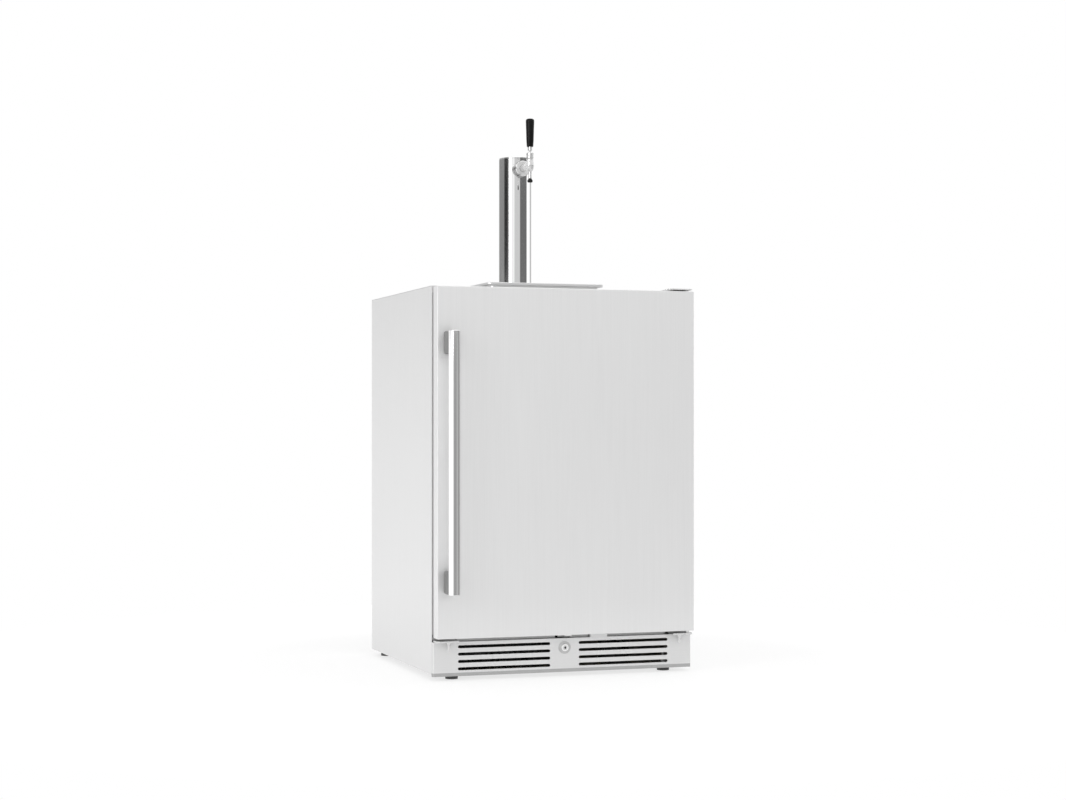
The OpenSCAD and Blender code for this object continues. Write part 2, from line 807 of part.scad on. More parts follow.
module control_panel() {
    color(black_plastic) in_row() {
        across(75) polygon([[22, ceiling_z], [22, ceiling_z - 6], [34, ceiling_z - 18],
                            [96, ceiling_z - 18], [104, ceiling_z]]);
        wide_box(60, 125, 145, ceiling_z - 6, ceiling_z);
    }
}

module compressor() {
    x = 124;
    y = 474;
    color(black_plastic) in_row() {
        translate([x, y, 29]) rotate_extrude()
            polygon([[0, 0], [40, 0], [50, 6], [56, 18], [58, 30], [58, 70], [60, 71], [60, 77],
                     [57, 78], [56, 96], [50, 112], [38, 122], [20, 127], [0, 128]]);
        box([x - 78, y - 46, 26], [x + 78, y + 46, 29]);
        for (sx = [-1, 1], sy = [-1, 1])
            rod_z(9, x + 66 * sx, y + 34 * sy, pan_z1, 26);
        box([x + 56, y - 26, 60], [x + 84, y + 26, 112]);
    }
}

module refrigerant_lines() {
    color(copper) in_row() {
        hose(suction_route, 4, [0, 1, 0.1], 2);
        hose(discharge_route, 3, [0, 0.1, 1], 2);
        hose(liquid_route, 3, unit([1, -0.35, 0]), 2);
    }
}

module power_inlet() {
    color(black_plastic) in_row() {
        difference() {
            box([-255.5, 516, 54.5], [-214.5, cab_d, 85.5]);
            box([-249, 522, 60], [-221, cab_d + eps, 80]);
        }
        for (p = [[-243, 67], [-235, 72], [-227, 67]])
            box([p[0] - 1, 522, p[1] - 3], [p[0] + 1, 536, p[1] + 3]);
    }
}

module co2_cylinder() {
    r = gas_d / 2;
    color([0.75, 0.76, 0.78]) in_row() {
        translate([gas_x, gas_y, hump_z]) rotate_extrude()
            polygon([[0, 3], [r - 16, 0], [r - 5, 2], [r, 8], [r, gas_h - 50],
                     [r - 5, gas_h - 32], [r - 18, gas_h - 16], [r - 34, gas_h - 6],
                     [14, gas_h], [14, gas_h + 14], [0, gas_h + 14]]);
        rod_z(11, gas_x, gas_y, gas_top + 14, gas_top + 48);
        rod_x(9, gas_y, valve_z, gas_x - 24, gas_x + 16);
    }
}

module cylinder_knob() {
    color(black_plastic) in_row() difference() {
        rod_z(20, gas_x, gas_y, gas_top + 49, gas_top + 64);
        for (a = [0 : 45 : 315])
            rod_z(4, gas_x + 21.5 * cos(a), gas_y + 21.5 * sin(a),
                  gas_top + 48, gas_top + 65);
    }
}

module wall_clips() {
    r = gas_d / 2;
    color(grey_plastic) in_row() {
        difference() {
            union() {
                rod_z(r + 3, gas_x, gas_y, 560, 582);
                box([gas_x - 22, gas_y + r, 560], [gas_x + 22, rear_y, 582]);
            }
            rod_z(r + 0.4, gas_x, gas_y, 559, 583);
        }
        difference() {
            union() {
                box([-lin_in_x, coup_y - 20, coup_z + 74], [-lin_in_x + 3, coup_y + 20,
                     coup_z + 86]);
                box([-lin_in_x, coup_y - 6, coup_z + 74], [coup_x - 15, coup_y + 6,
                     coup_z + 86]);
                rod_z(17, coup_x, coup_y, coup_z + 74, coup_z + 86);
            }
            rod_z(14.2, coup_x, coup_y, coup_z + 73, coup_z + 87);
            box([coup_x + 6, coup_y - 12, coup_z + 73], [coup_x + 20, coup_y + 12,
                 coup_z + 87]);
        }
    }
}

module regulator_body() {
    color(bright) in_row() {
        rod_x(12, gas_y, reg_z, gas_x - 38, gas_x - 24);
        rod_x(7, gas_y, reg_z, reg_x, gas_x - 38);
        rod_y(21, reg_x, reg_z, reg_y0, gas_y + 20);
        rod_z(5, reg_x, gas_y, reg_z - 33, reg_z);
        rod_z(5, reg_x, gas_y, reg_z, reg_z + 34);
        rod_x(5, gas_y, reg_z, reg_x - 34, reg_x);
        rod_y(19, reg_x, reg_z + 46, gas_y - 12, gas_y + 12);
        rod_y(19, reg_x - 46, reg_z, gas_y - 12, gas_y + 12);
        rod_y(3, reg_x, reg_z, reg_y0 - 20, reg_y0);
    }
}

module regulator_knob() {
    color(black_plastic) in_row() difference() {
        rod_y(14, reg_x, reg_z, reg_y0 - 22, reg_y0 - body_gap);
        rod_y(3 + run_fit, reg_x, reg_z, reg_y0 - 20 - body_gap, reg_y0);
        for (a = [0 : 30 : 330])
            rod_y(1.6, reg_x + 14.4 * cos(a), reg_z + 14.4 * sin(a), reg_y0 - 23, reg_y0);
    }
}

module keg_coupler() {
    color(bright) in_row() difference() {
        union() {
            rod_z(24, coup_x, coup_y, coup_z, coup_z + 10);
            rod_z(20, coup_x, coup_y, coup_z + 10, coup_z + 50);
            rod_z(17, coup_x, coup_y, coup_z + 50, coup_z + 73);
            rod_z(14, coup_x, coup_y, coup_z + 73, coup_z + 92);
            rod_z(9, coup_x, coup_y, coup_z + 92, coup_z + 122);
            rod_y(8, coup_x, coup_z + 60, coup_y, coup_y + 29);
            rod_x(3, lever_y, lever_z, coup_x - 15, coup_x + 15);
            box([coup_x - 7, lever_y - 4, lever_z - 5], [coup_x + 7, coup_y - 10,
                 lever_z + 5]);
        }
        rod_z(14, coup_x, coup_y, coup_z - eps, coup_z + 26);
    }
}

module coupler_handle() {
    color(black_plastic) in_row() translate([coup_x, lever_y, lever_z]) rotate([-30, 0, 0])
        difference() {
            union() {
                for (sx = [-1, 1])
                    box([sx * 10 - 2, -40, -5], [sx * 10 + 2, 4, 5]);
                box([-12, -46, -5], [12, -39, 5]);
                rod_y(8, 0, 0, -104, -45);
            }
            rod_x(3 + run_fit, 0, 0, -20, 20);
        }
}

// ---------------------------------------------------------------- door

module door_skin() {
    color(steel) in_row() difference() {
        wide_box(door_x, door_front, door_back, door_z0, door_z1);
        wide_box(door_x - door_sheet, door_front + door_sheet, door_back - door_sheet,
                 door_z0 + door_sheet, door_z1 - door_sheet);
        wide_box(door_x - 12, door_back - 2, door_back + eps, door_z0 + 12, door_z1 - 12);
        rod_z(bush_r, hinge_x, hinge_y, door_z0 - eps, door_z1 + eps);
    }
}

module door_foam() {
    color(foam_colour) in_row() difference() {
        wide_box(door_x - door_sheet, door_front + door_sheet, door_back - door_sheet,
                 door_z0 + door_sheet, door_z1 - door_sheet);
        rod_z(bush_r, hinge_x, hinge_y, door_z0 - eps, door_z0 + bush_l);
        rod_z(bush_r, hinge_x, hinge_y, door_z1 - bush_l, door_z1 + eps);
    }
}

module door_liner() {
    rim_x = 240;
    color(white_plastic) in_row() difference() {
        union() {
            wide_box(door_x - 12, door_back - door_sheet, door_back, door_z0 + 12,
                     door_z1 - 12);
            wide_box(rim_x, door_back, door_back + 10, door_z0 + 70, door_z1 - 62);
        }
        wide_box(rim_x - 24, door_back + 2, door_back + 10 + eps, door_z0 + 94,
                 door_z1 - 86);
    }
}

module door_gasket() {
    color(grey_plastic) in_row() difference() {
        wide_box(285, door_back, -body_gap, door_z0 + 13, door_z1 - 17);
        wide_box(265, door_back - eps, eps, door_z0 + 33, door_z1 - 37);
    }
}

module door_hinge_bushes() {
    color(black_plastic) in_row() for (z = [door_z0, door_z1 - bush_l])
        difference() {
            rod_z(bush_r, hinge_x, hinge_y, z, z + bush_l);
            rod_z(pin_r + run_fit, hinge_x, hinge_y, z - eps, z + bush_l + eps);
        }
}

module handle_bar() {
    r = bar_d / 2;
    color(steel) in_row() {
        difference() {
            rod_z(r, bar_x, bar_y, bar_z0, bar_z0 + bar_l);
            rod_z(r - 1.5, bar_x, bar_y, bar_z0 - eps, bar_z0 + bar_l + eps);
        }
        for (z = [bar_z0, bar_z0 + bar_l - 4])
            rod_z(r - 1.5 - run_fit, bar_x, bar_y, z, z + 4);
    }
}

module handle_posts() {
    color(steel) in_row() for (z = [bar_z0, bar_z0 + bar_l - post_h])
        difference() {
            translate([bar_x, 0, z + post_h / 2]) rotate([90, 0, 0])
                translate([0, 0, -door_front]) linear_extrude(bar_out)
                    round_rect(post_w, post_h, 5);
            rod_z(bar_d / 2, bar_x, bar_y, z - eps, z + post_h + eps);
        }
}

module lock_strike() {
    color(bright) in_row() {
        wide_box(8.5, door_front + 3, door_back - 3, door_z0 - 3, door_z0);
        wide_box(8.5, door_back - 3, 14, door_z0 - 3, door_z0 - 1);
        wide_box(8.5, 12, 14, door_z0 - 9, door_z0 - 3);
    }
}

module lock_plug() {
    color(bright) in_row() {
        difference() {
            rod_y(plug_r, 0, lock_z, -kick_out - 4.6, cam_y);
            box([-0.8, -kick_out - 5, lock_z - 3], [0.8, -kick_out + 6, lock_z + 3]);
        }
        translate([0, cam_y, lock_z]) rotate([-90, 0, 0]) linear_extrude(cam_t) {
            circle(7);
            translate([5.5 - cam_l, -5.5]) square([cam_l - 5.5, 11]);
            translate([5.5 - cam_l, 0]) circle(5.5);
        }
        rod_y(4, 0, lock_z, cam_y + cam_t, cam_y + cam_t + 3);
    }
}

// ---------------------------------------------------------------- feet

module foot(place) {
    r = foot_d / 2;
    color([0.35, 0.35, 0.36]) in_row() {
        rod_z(r, place[0], place[1], 0, 5);
        rod_z(r, place[0], place[1], 5, 8, r - 3);
        rod_z(8, place[0], place[1], 8, 12.5);
        rod_z(stem_r, place[0], place[1], 12.5, 44);
    }
}

module foot_front_left() { foot(foot_places[0]); }
module foot_front_right() { foot(foot_places[1]); }
module foot_rear_left() { foot(foot_places[2]); }
module foot_rear_right() { foot(foot_places[3]); }

left_side_panel();
right_side_panel();
top_panel();
back_panel();
rear_cover();
base_pan();
hinge_rail();
insulation_foam();
inner_liner();
front_frame();
kick_plate();
lock_barrel();
top_hinge_bracket();
bottom_hinge_brackets();
screws();
tower_flange();
tower_column();
tower_cap();
shank();
shank_flange();
coupling_nut();
faucet_body();
spout_tip();
faucet_bonnet();
beer_line();
gas_line();
evaporator_cover();
evaporator_coil();
fan_motors();
control_panel();
compressor();
condenser_coil();
refrigerant_lines();
power_inlet();
co2_cylinder();
wall_clips();
regulator_body();
keg_coupler();
door_skin();
door_foam();
door_liner();
door_gasket();
door_hinge_bushes();
handle_bar();
handle_posts();
lock_strike();
lock_plug();
tap_lever();
tap_handle();
drip_tray();
drip_grate();
foot_front_left();
foot_front_right();
foot_rear_left();
foot_rear_right();
evaporator_fan_blade();
condenser_fan_blade();
cylinder_knob();
regulator_knob();
coupler_handle();
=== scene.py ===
import json
import math

import bmesh
import bpy
from mathutils import Matrix, Vector

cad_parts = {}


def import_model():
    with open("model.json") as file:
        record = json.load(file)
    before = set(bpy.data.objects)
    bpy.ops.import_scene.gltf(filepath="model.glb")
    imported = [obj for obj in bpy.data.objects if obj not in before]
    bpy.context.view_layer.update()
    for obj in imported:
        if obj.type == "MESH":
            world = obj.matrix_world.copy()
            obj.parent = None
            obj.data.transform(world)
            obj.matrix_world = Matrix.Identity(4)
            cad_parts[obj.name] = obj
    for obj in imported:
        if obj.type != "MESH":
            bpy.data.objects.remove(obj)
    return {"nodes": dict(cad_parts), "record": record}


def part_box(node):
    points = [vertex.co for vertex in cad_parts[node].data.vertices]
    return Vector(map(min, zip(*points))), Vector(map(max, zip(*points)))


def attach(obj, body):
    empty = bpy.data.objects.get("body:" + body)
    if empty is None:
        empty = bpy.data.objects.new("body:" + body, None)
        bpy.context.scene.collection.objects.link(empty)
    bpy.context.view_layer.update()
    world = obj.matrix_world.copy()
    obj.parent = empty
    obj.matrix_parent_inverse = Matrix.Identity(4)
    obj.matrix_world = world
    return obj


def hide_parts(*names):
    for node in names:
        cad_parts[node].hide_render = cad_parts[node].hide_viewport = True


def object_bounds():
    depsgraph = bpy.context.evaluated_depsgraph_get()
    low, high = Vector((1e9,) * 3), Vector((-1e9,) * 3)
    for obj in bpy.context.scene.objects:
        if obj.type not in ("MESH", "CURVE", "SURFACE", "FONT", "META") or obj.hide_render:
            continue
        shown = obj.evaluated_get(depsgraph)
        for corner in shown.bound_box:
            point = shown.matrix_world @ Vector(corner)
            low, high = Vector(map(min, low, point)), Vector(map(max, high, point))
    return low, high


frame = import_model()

# The kegerator's looks, in metres, in the CAD model's own frame: +Z up, the door faces -Y.
CAD_LO, CAD_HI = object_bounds()
NODES = frame["nodes"]
MM = 0.001
NEAR = 1e-5
SAME_POINT = 1e-6
ON_AXIS = 1e-7
FLAT = math.radians(1)
BEHAVIOUR = frame["record"]["behaviour"]
BODY_OF = {node: body for body, nodes in BEHAVIOUR["bodies"].items() for node in nodes}
AXIS_TURN = {
    "X": Matrix.Rotation(math.pi / 2, 3, "Y"),
    "Y": Matrix.Rotation(-math.pi / 2, 3, "X"),
    "Z": Matrix.Identity(3),
}

# ---------------------------------------------------------------- material helpers


def add(tree, kind, inputs=(), **props):
    """A shader node with its properties set, and its inputs set or linked."""
    made = tree.nodes.new("ShaderNode" + kind)
    for key, value in props.items():
        setattr(made, key, value)
    for key, value in dict(inputs).items():
        if isinstance(value, bpy.types.NodeSocket):
            tree.links.new(value, made.inputs[key])
        else:
            made.inputs[key].default_value = value
    return made


def grey(value):
    return (value, value, value, 1.0)


def surface(name, dark, light, rough, grain, bump=0.1, fine=(900, 900, 900), **sockets):
    """A material whose colour and roughness wander with a stretched noise, over a fine bump.

    dark and light bound the colour, rough bounds the roughness, grain is the noise's cycles
    per metre along each axis, and sockets are fixed values on the shader's own sockets."""
    material = bpy.data.materials.new(name)
    material.use_nodes = True
    tree = material.node_tree
    shader = tree.nodes["Principled BSDF"]
    for key, value in sockets.items():
        shader.inputs[key.replace("_", " ")].default_value = value
    place = add(tree, "TexCoord").outputs["Object"]
    wide = add(tree, "Mapping", {"Vector": place, "Scale": grain}).outputs["Vector"]
    tone = add(tree, "TexNoise", {"Vector": wide, "Scale": 1.0, "Detail": 3.0})
    ramp = add(tree, "ValToRGB", {"Fac": tone.outputs["Fac"]})
    ramp.color_ramp.elements[0].position = 0.3
    ramp.color_ramp.elements[0].color = dark
    ramp.color_ramp.elements[1].position = 0.7
    ramp.color_ramp.elements[1].color = light
    tree.links.new(ramp.outputs["Color"], shader.inputs["Base Color"])
    gloss = add(tree, "MapRange", {"Value": tone.outputs["Fac"], "From Min": 0.3,
                                   "From Max": 0.7, "To Min": rough[0], "To Max": rough[1]})
    tree.links.new(gloss.outputs["Result"], shader.inputs["Roughness"])
    close = add(tree, "Mapping", {"Vector": place, "Scale": fine}).outputs["Vector"]
    relief = add(tree, "TexNoise", {"Vector": close, "Scale": 1.0, "Detail": 2.0})
    bumped = add(tree, "Bump", {"Height": relief.outputs["Fac"], "Strength": bump,
                                "Distance": 0.0002})
    tree.links.new(bumped.outputs["Normal"], shader.inputs["Normal"])
    return material


def steel(name, level, rough, grain, **sockets):
    """Brushed stainless: the grain's slow axis is the brushing direction."""
    fine = tuple(3 * g for g in grain)
    return surface(name, grey(level * 0.97), grey(level), rough, grain, 0.12, fine,
                   Metallic=1.0, **sockets)


UPRIGHT = (700, 700, 6)
LEVEL = (6, 700, 700)
ROUND = (60, 60, 60)

door_steel = steel("door steel", 0.94, (0.46, 0.50), UPRIGHT)
side_steel = steel("side steel", 0.90, (0.44, 0.50), UPRIGHT)
top_steel = steel("top steel", 0.78, (0.38, 0.44), LEVEL)
kick_steel = steel("kick plate steel", 0.85, (0.62, 0.68), LEVEL)
# Darker steel for the kick plate's rolled lower lip: painted shade standing in for the darker
# reflection there.
roll_painted_shade_steel = steel("kick plate roll painted shade", 0.53, (0.5, 0.56), LEVEL)
# Darker steel for the side panels' forward faces: painted shade in the gap beside the door.
flange_painted_shade_steel = steel("side panel flange painted shade steel", 0.66, (0.5, 0.56), UPRIGHT)
bar_steel = steel("handle steel", 0.94, (0.06, 0.09), UPRIGHT)
# Very dark steel for the handle's end blocks: a painted dark reflection on their sides.
post_steel_painted_dark = steel("handle post steel painted dark reflection", 0.25, (0.30, 0.36), UPRIGHT)
tray_steel = steel("tray steel", 0.80, (0.36, 0.42), LEVEL)
polished = surface("polished steel", grey(0.93), grey(0.96), (0.05, 0.09), (30, 30, 4), 0.02,
                   Metallic=1.0)
nut_steel = surface("tap nut steel", grey(0.84), grey(0.90), (0.34, 0.42), ROUND, 0.05,
                    Metallic=1.0)
tap_chrome = surface("tap chrome", grey(0.70), grey(0.77), (0.20, 0.26), ROUND, 0.03,
                     Metallic=1.0)
satin_chrome = surface("satin chrome", grey(0.72), grey(0.78), (0.14, 0.2), ROUND, 0.03,
                       Metallic=1.0)
dish_steel = surface("lock dish steel", grey(0.56), grey(0.62), (0.30, 0.38), ROUND, 0.05,
                     Metallic=1.0)
# A dull steel finish for the lock body and shank flange. On the tap nut's sides it is painted
# shade.
dull_steel_and_painted_shade = surface("dull steel and painted shade", grey(0.34), grey(0.42), (0.36, 0.46), ROUND, 0.08,
                     Metallic=1.0)
zinc = surface("zinc plate", grey(0.50), grey(0.56), (0.36, 0.46), (80, 80, 80), 0.08,
               Metallic=0.9)
zinc_cover = surface("zinc cover", grey(0.40), grey(0.45), (0.40, 0.50), (80, 80, 80), 0.08,
                     Metallic=0.9)
black_steel = surface("black enamel", grey(0.012), grey(0.02), (0.28, 0.4), ROUND, 0.3,
                      (400, 400, 400), Coat_Weight=0.3)
white_liner = surface("white liner", grey(0.66), grey(0.69), (0.30, 0.38), (12, 12, 12), 0.12,
                      (600, 600, 600))
grey_plastic = surface("grey plastic", grey(0.42), grey(0.45), (0.4, 0.5), ROUND, 0.2)
gasket_rubber = surface("gasket rubber", grey(0.07), grey(0.10), (0.5, 0.62), ROUND, 0.25)
black_plastic = surface("black plastic", grey(0.006), grey(0.011), (0.42, 0.54), ROUND, 0.3,
                        Specular_IOR_Level=0.25)
black_gloss = surface("black gloss", grey(0.004), grey(0.007), (0.22, 0.30), (25, 25, 25), 0.05,
                      (200, 200, 200), Specular_IOR_Level=0.16)
foam_block = surface("foam", (0.78, 0.66, 0.36, 1), (0.88, 0.78, 0.50, 1), (0.8, 0.95),
                     (160, 160, 160), 0.8, (500, 500, 500))
copper = surface("copper tube", (0.52, 0.24, 0.14, 1), (0.80, 0.42, 0.27, 1), (0.2, 0.42),
                 (70, 70, 70), 0.08, Metallic=1.0)
aluminium = surface("aluminium", grey(0.66), grey(0.76), (0.26, 0.38), (50, 50, 12), 0.08,
                    Metallic=1.0)
clear_hose = surface("clear hose", (0.78, 0.80, 0.76, 1), (0.86, 0.88, 0.84, 1), (0.12, 0.2),
                     ROUND, 0.05, Transmission_Weight=0.55, IOR=1.45)
red_hose = surface("red hose", (0.30, 0.012, 0.010, 1), (0.42, 0.02, 0.016, 1), (0.3, 0.42),
                   ROUND, 0.15)
foot_plastic = surface("foot plastic", grey(0.055), grey(0.08), (0.4, 0.5), ROUND, 0.25)
dial_white = surface("dial white", grey(0.80), grey(0.84), (0.4, 0.5), ROUND, 0.02)
dial_red = surface("dial red", (0.5, 0.02, 0.02, 1), (0.6, 0.03, 0.02, 1), (0.4, 0.5), ROUND)
dial_glass = surface("dial glass", grey(0.95), grey(0.98), (0.02, 0.04), ROUND, 0.0,
                     Transmission_Weight=1.0, IOR=1.45)
lamp_white = surface("lamp strip", grey(0.9), grey(0.95), (0.3, 0.4), ROUND, 0.05,
                     Emission_Strength=2.5, Emission_Color=(0.92, 0.96, 1.0, 1.0))

# ---------------------------------------------------------------- shape helpers


def centre_of(node):
    lo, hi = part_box(node)
    return (lo + hi) / 2


def rounded(points, radius, steps=4, closed=False):
    """The outline with its corners turned into arcs. radius is one number, or one for each."""
    points = [Vector(p) for p in points]
    count = len(points)
    radii = radius if isinstance(radius, (list, tuple)) else [radius] * count
    made = []
    for i, corner in enumerate(points):
        end = not closed and i in (0, count - 1)
        if end or radii[i] <= 0:
            made.append(corner)
            continue
        back, ahead = points[i - 1] - corner, points[(i + 1) % count] - corner
        half = back.angle(ahead) / 2
        most = 0.49 * min(back.length, ahead.length)
        cut = min(radii[i] / math.tan(half), most)
        back.normalize()
        ahead.normalize()
        middle = corner + (back + ahead).normalized() * (cut / math.cos(half))
        first, last = corner + back * cut - middle, corner + ahead * cut - middle
        for k in range(steps + 1):
            t = k / steps
            arm = first.lerp(last, t).normalized() * first.length
            made.append(middle + arm)
    return made


def bridge(bm, a, b):
    """Faces between two rings of vertices, either of which may be one point."""
    count = max(len(a), len(b))
    for k in range(count):
        j = (k + 1) % count
        corners = [a[k % len(a)], a[j % len(a)], b[j % len(b)], b[k % len(b)]]
        unique = [v for n, v in enumerate(corners) if v not in corners[:n]]
        if len(unique) > 2:
            bm.faces.new(unique)


def lathe(bm, profile, at, axis="Z", segments=64, closed=False):
    """Turns (radius, distance) points round an axis through the point `at`."""
    turn = AXIS_TURN[axis]
    rings = []
    for radius, along in profile:
        if radius < ON_AXIS:
            rings.append([bm.verts.new(at + turn @ Vector((0, 0, along)))])
            continue
        angles = [2 * math.pi * k / segments for k in range(segments)]
        rings.append([bm.verts.new(at + turn @ Vector((radius * math.cos(a),
                                                       radius * math.sin(a), along)))
                      for a in angles])
    for a, b in zip(rings, rings[1:]):
        bridge(bm, a, b)
    if closed:
        bridge(bm, rings[-1], rings[0])


def rod(bm, radius, lo, hi, at, axis="Z", edge=0.0004, segments=48):
    """A plain shaft from lo to hi along the axis through `at`, with rounded rims."""
    lathe(bm, rounded([(0, lo), (radius, lo), (radius, hi), (0, hi)], edge), at, axis, segments)


def prism(bm, outline, lo, hi, axis="Z"):
    """Extrudes a closed outline along an axis. The outline's two numbers are the other axes."""
    def place(p, w):
        return {"X": (w, p[0], p[1]), "Y": (p[0], w, p[1]), "Z": (p[0], p[1], w)}[axis]
    near = [bm.verts.new(place(p, lo)) for p in outline]
    far = [bm.verts.new(place(p, hi)) for p in outline]
    bridge(bm, near, far)
    bm.faces.new(near)
    bm.faces.new(far)


def block(bm, lo, hi):
    prism(bm, [(lo[0], lo[1]), (hi[0], lo[1]), (hi[0], hi[1]), (lo[0], hi[1])], lo[2], hi[2])


def rectangle(cx, cy, w, h, radius=0.0, steps=6):
    """A closed rectangle outline round (cx, cy), with round corners."""
    corners = [(cx - w / 2, cy - h / 2), (cx + w / 2, cy - h / 2), (cx + w / 2, cy + h / 2),
               (cx - w / 2, cy + h / 2)]
    return rounded(corners, radius, steps, closed=True)


def hexagon(cx, cy, radius):
    return [(cx + radius * math.cos(a), cy + radius * math.sin(a))
            for a in (math.pi / 3 * k for k in range(6))]


def smooth_path(points, steps=6):
    """A smooth curve through the points."""
    p = [Vector(q) for q in points]
    made = []
    for i in range(len(p) - 1):
        a, b, c, d = p[max(i - 1, 0)], p[i], p[i + 1], p[min(i + 2, len(p) - 1)]
        for k in range(steps):
            t = k / steps
            made.append(0.5 * (2 * b + (c - a) * t + (2 * a - 5 * b + 4 * c - d) * t * t
                               + (3 * b - a - 3 * c + d) * t ** 3))
    return made + [p[-1]]


def tube(bm, path, radius, sides=20):
    """A round tube along a path, without twist, closed at both ends."""
    rings, side = [], None
    for i, point in enumerate(path):
        ahead = (path[min(i + 1, len(path) - 1)] - path[max(i - 1, 0)]).normalized()
        if side is None:
            side = ahead.orthogonal().normalized()
        side = (side - ahead * side.dot(ahead)).normalized()
        other = ahead.cross(side)
        rings.append([bm.verts.new(point + radius * (math.cos(a) * side + math.sin(a) * other))
                      for a in (2 * math.pi * k / sides for k in range(sides))])
    for a, b in zip(rings, rings[1:]):
        bridge(bm, a, b)
    bm.faces.new(rings[0])
    bm.faces.new(rings[-1])


def piece(name, bm, node, material, edge=0.0, segments=2, angle=35):
    """Makes the mesh a shown piece that stands for a CAD node and rides on its body."""
    bmesh.ops.recalc_face_normals(bm, faces=bm.faces)
    mesh = bpy.data.meshes.new(name)
    bm.to_mesh(mesh)
    bm.free()
    mesh.materials.append(material)
    mesh.shade_smooth()
    mesh.set_sharp_from_angle(angle=math.radians(angle))
    obj = bpy.data.objects.new(name, mesh)
    bpy.context.scene.collection.objects.link(obj)
    if edge:
        bevel = obj.modifiers.new("rounded edges", "BEVEL")
        bevel.width = edge
        bevel.segments = segments
        bevel.limit_method = "ANGLE"
        bevel.angle_limit = math.radians(angle)
        bevel.harden_normals = True
    flat = obj.modifiers.new("flat faces", "WEIGHTED_NORMAL")
    flat.keep_sharp = True
    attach(obj, BODY_OF[node])
    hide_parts(node)
    return obj


def merged(node):
    """The CAD node's own mesh with its flat faces merged."""
    bm = bmesh.new()
    bm.from_mesh(NODES[node].data)
    bmesh.ops.remove_doubles(bm, verts=bm.verts, dist=SAME_POINT)
    bmesh.ops.dissolve_limit(bm, angle_limit=FLAT, verts=bm.verts, edges=bm.edges)
    return bm


def round_edges(bm, edges, radius):
    bmesh.ops.bevel(bm, geom=edges, offset=radius, segments=5, profile=0.5, affect="EDGES",
                    clamp_overlap=True)


def rim_edges(bm, lo, hi, keep):
    """The edges that run along two faces of the box from lo to hi."""
    chosen = []
    for e in bm.edges:
        a, b = (v.co for v in e.verts)
        faces = sum(any(abs(a[i] - w[i]) < NEAR and abs(b[i] - w[i]) < NEAR for w in (lo, hi))
                    for i in range(3))
        if faces > 1 and keep((a + b) / 2):
            chosen.append(e)
    return chosen


def refined(node, material, edge=0.0005, rim=0.0, keep=lambda at: True, segments=2):
    """The CAD node's own shape with a rounded rim, where keep says so, and small round edges."""
    bm = merged(node)
    if rim:
        lo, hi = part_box(node)
        round_edges(bm, rim_edges(bm, lo, hi, keep), rim)
    return piece(node + "_finished", bm, node, material, edge, segments)


def repaint(obj, material, chosen):
    """A second material on the faces that the test chooses."""
    obj.data.materials.append(material)
    for face in obj.data.polygons:
        face.material_index = int(chosen(face))


def faces_forward(face):
    return face.normal.y < -0.7


def mm(points):
    return [(a * MM, b * MM) for a, b in points]


# ---------------------------------------------------------------- casing and door


def casing():
    """The outer panels. The two foams are hidden inside them, so they keep their CAD shape."""
    outer = CAD_HI.x - 1 * MM
    for node in ("left_side_panel", "right_side_panel"):
        side = refined(node, side_steel, 0.0003, 0.0008, lambda at: abs(at.x) > outer)
        # The forward faces, in the gap beside the door, take the darker steel as painted shade.
        repaint(side, flange_painted_shade_steel, faces_forward)
    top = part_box("top_panel")[1].z
    refined("top_panel", top_steel, 0.0003, 0.0005, lambda at: at.z > top - NEAR)
    for node in ("back_panel", "base_pan", "hinge_rail"):
        refined(node, zinc, 0.0004)
    refined("rear_cover", zinc_cover, 0.0004)
    refined("front_frame", grey_plastic, 0.0003)
    for node in ("insulation_foam", "door_foam"):
        NODES[node].material_slots[0].material = foam_block
    refined("screws", satin_chrome, 0.00025)


def door():
    refined("door_skin", door_steel, 0.0003, 0.0010)
    refined("door_liner", white_liner, 0.0012, segments=3)
    refined("door_hinge_bushes", black_plastic, 0.0003)
    refined("lock_strike", satin_chrome, 0.0004)
    gasket()


def gasket():
    """A ring with the section of a folded magnetic seal, mitred at its corners."""
    lo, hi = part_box("door_gasket")
    width, back, front = 20 * MM, lo.y, hi.y
    depth = front - back
    section = [(0, 0), (1, 0), (1, 0.2), (0.78, 0.26), (0.86, 0.45), (0.95, 0.6), (0.95, 1),
               (0.2, 1), (0.2, 0.6), (0.3, 0.45), (0.22, 0.26), (0, 0.2)]
    bm = bmesh.new()
    rings = []
    for inward, out in section:
        u, y = inward * width, back + out * depth
        rings.append([bm.verts.new(p) for p in (
            (lo.x + u, y, lo.z + u), (hi.x - u, y, lo.z + u), (hi.x - u, y, hi.z - u),
            (lo.x + u, y, hi.z - u))])
    for a, b in zip(rings, rings[1:] + rings[:1]):
        bridge(bm, a, b)
    piece("gasket_seal", bm, "door_gasket", gasket_rubber, 0.0002)


def handle():
    """A polished tube with rounded caps, on two end blocks."""
    lo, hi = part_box("handle_bar")
    axis = centre_of("handle_bar") - Vector((0, 0, (lo.z + hi.z) / 2))
    radius = (hi.x - lo.x) / 2
    cap = 1.6 * MM
    bm = bmesh.new()
    profile = rounded([(0, lo.z), (radius, lo.z), (radius, hi.z), (0, hi.z)], cap, 5)
    lathe(bm, profile, axis, segments=128)
    piece("handle_tube", bm, "handle_bar", bar_steel)
    post_lo, post_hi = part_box("handle_posts")
    height = 50 * MM
    width = post_hi.x - post_lo.x
    bm = bmesh.new()
    for z in (post_lo.z + height / 2, post_hi.z - height / 2):
        outline = rectangle(axis.x, z, width, height, 5 * MM, 8)
        prism(bm, outline, axis.y, post_hi.y, "Y")
    # The end blocks take the very dark steel: a painted dark reflection.
    piece("handle_end_blocks", bm, "handle_posts", post_steel_painted_dark, 0.0008, 3)


# ---------------------------------------------------------------- kick plate, lock, hinges


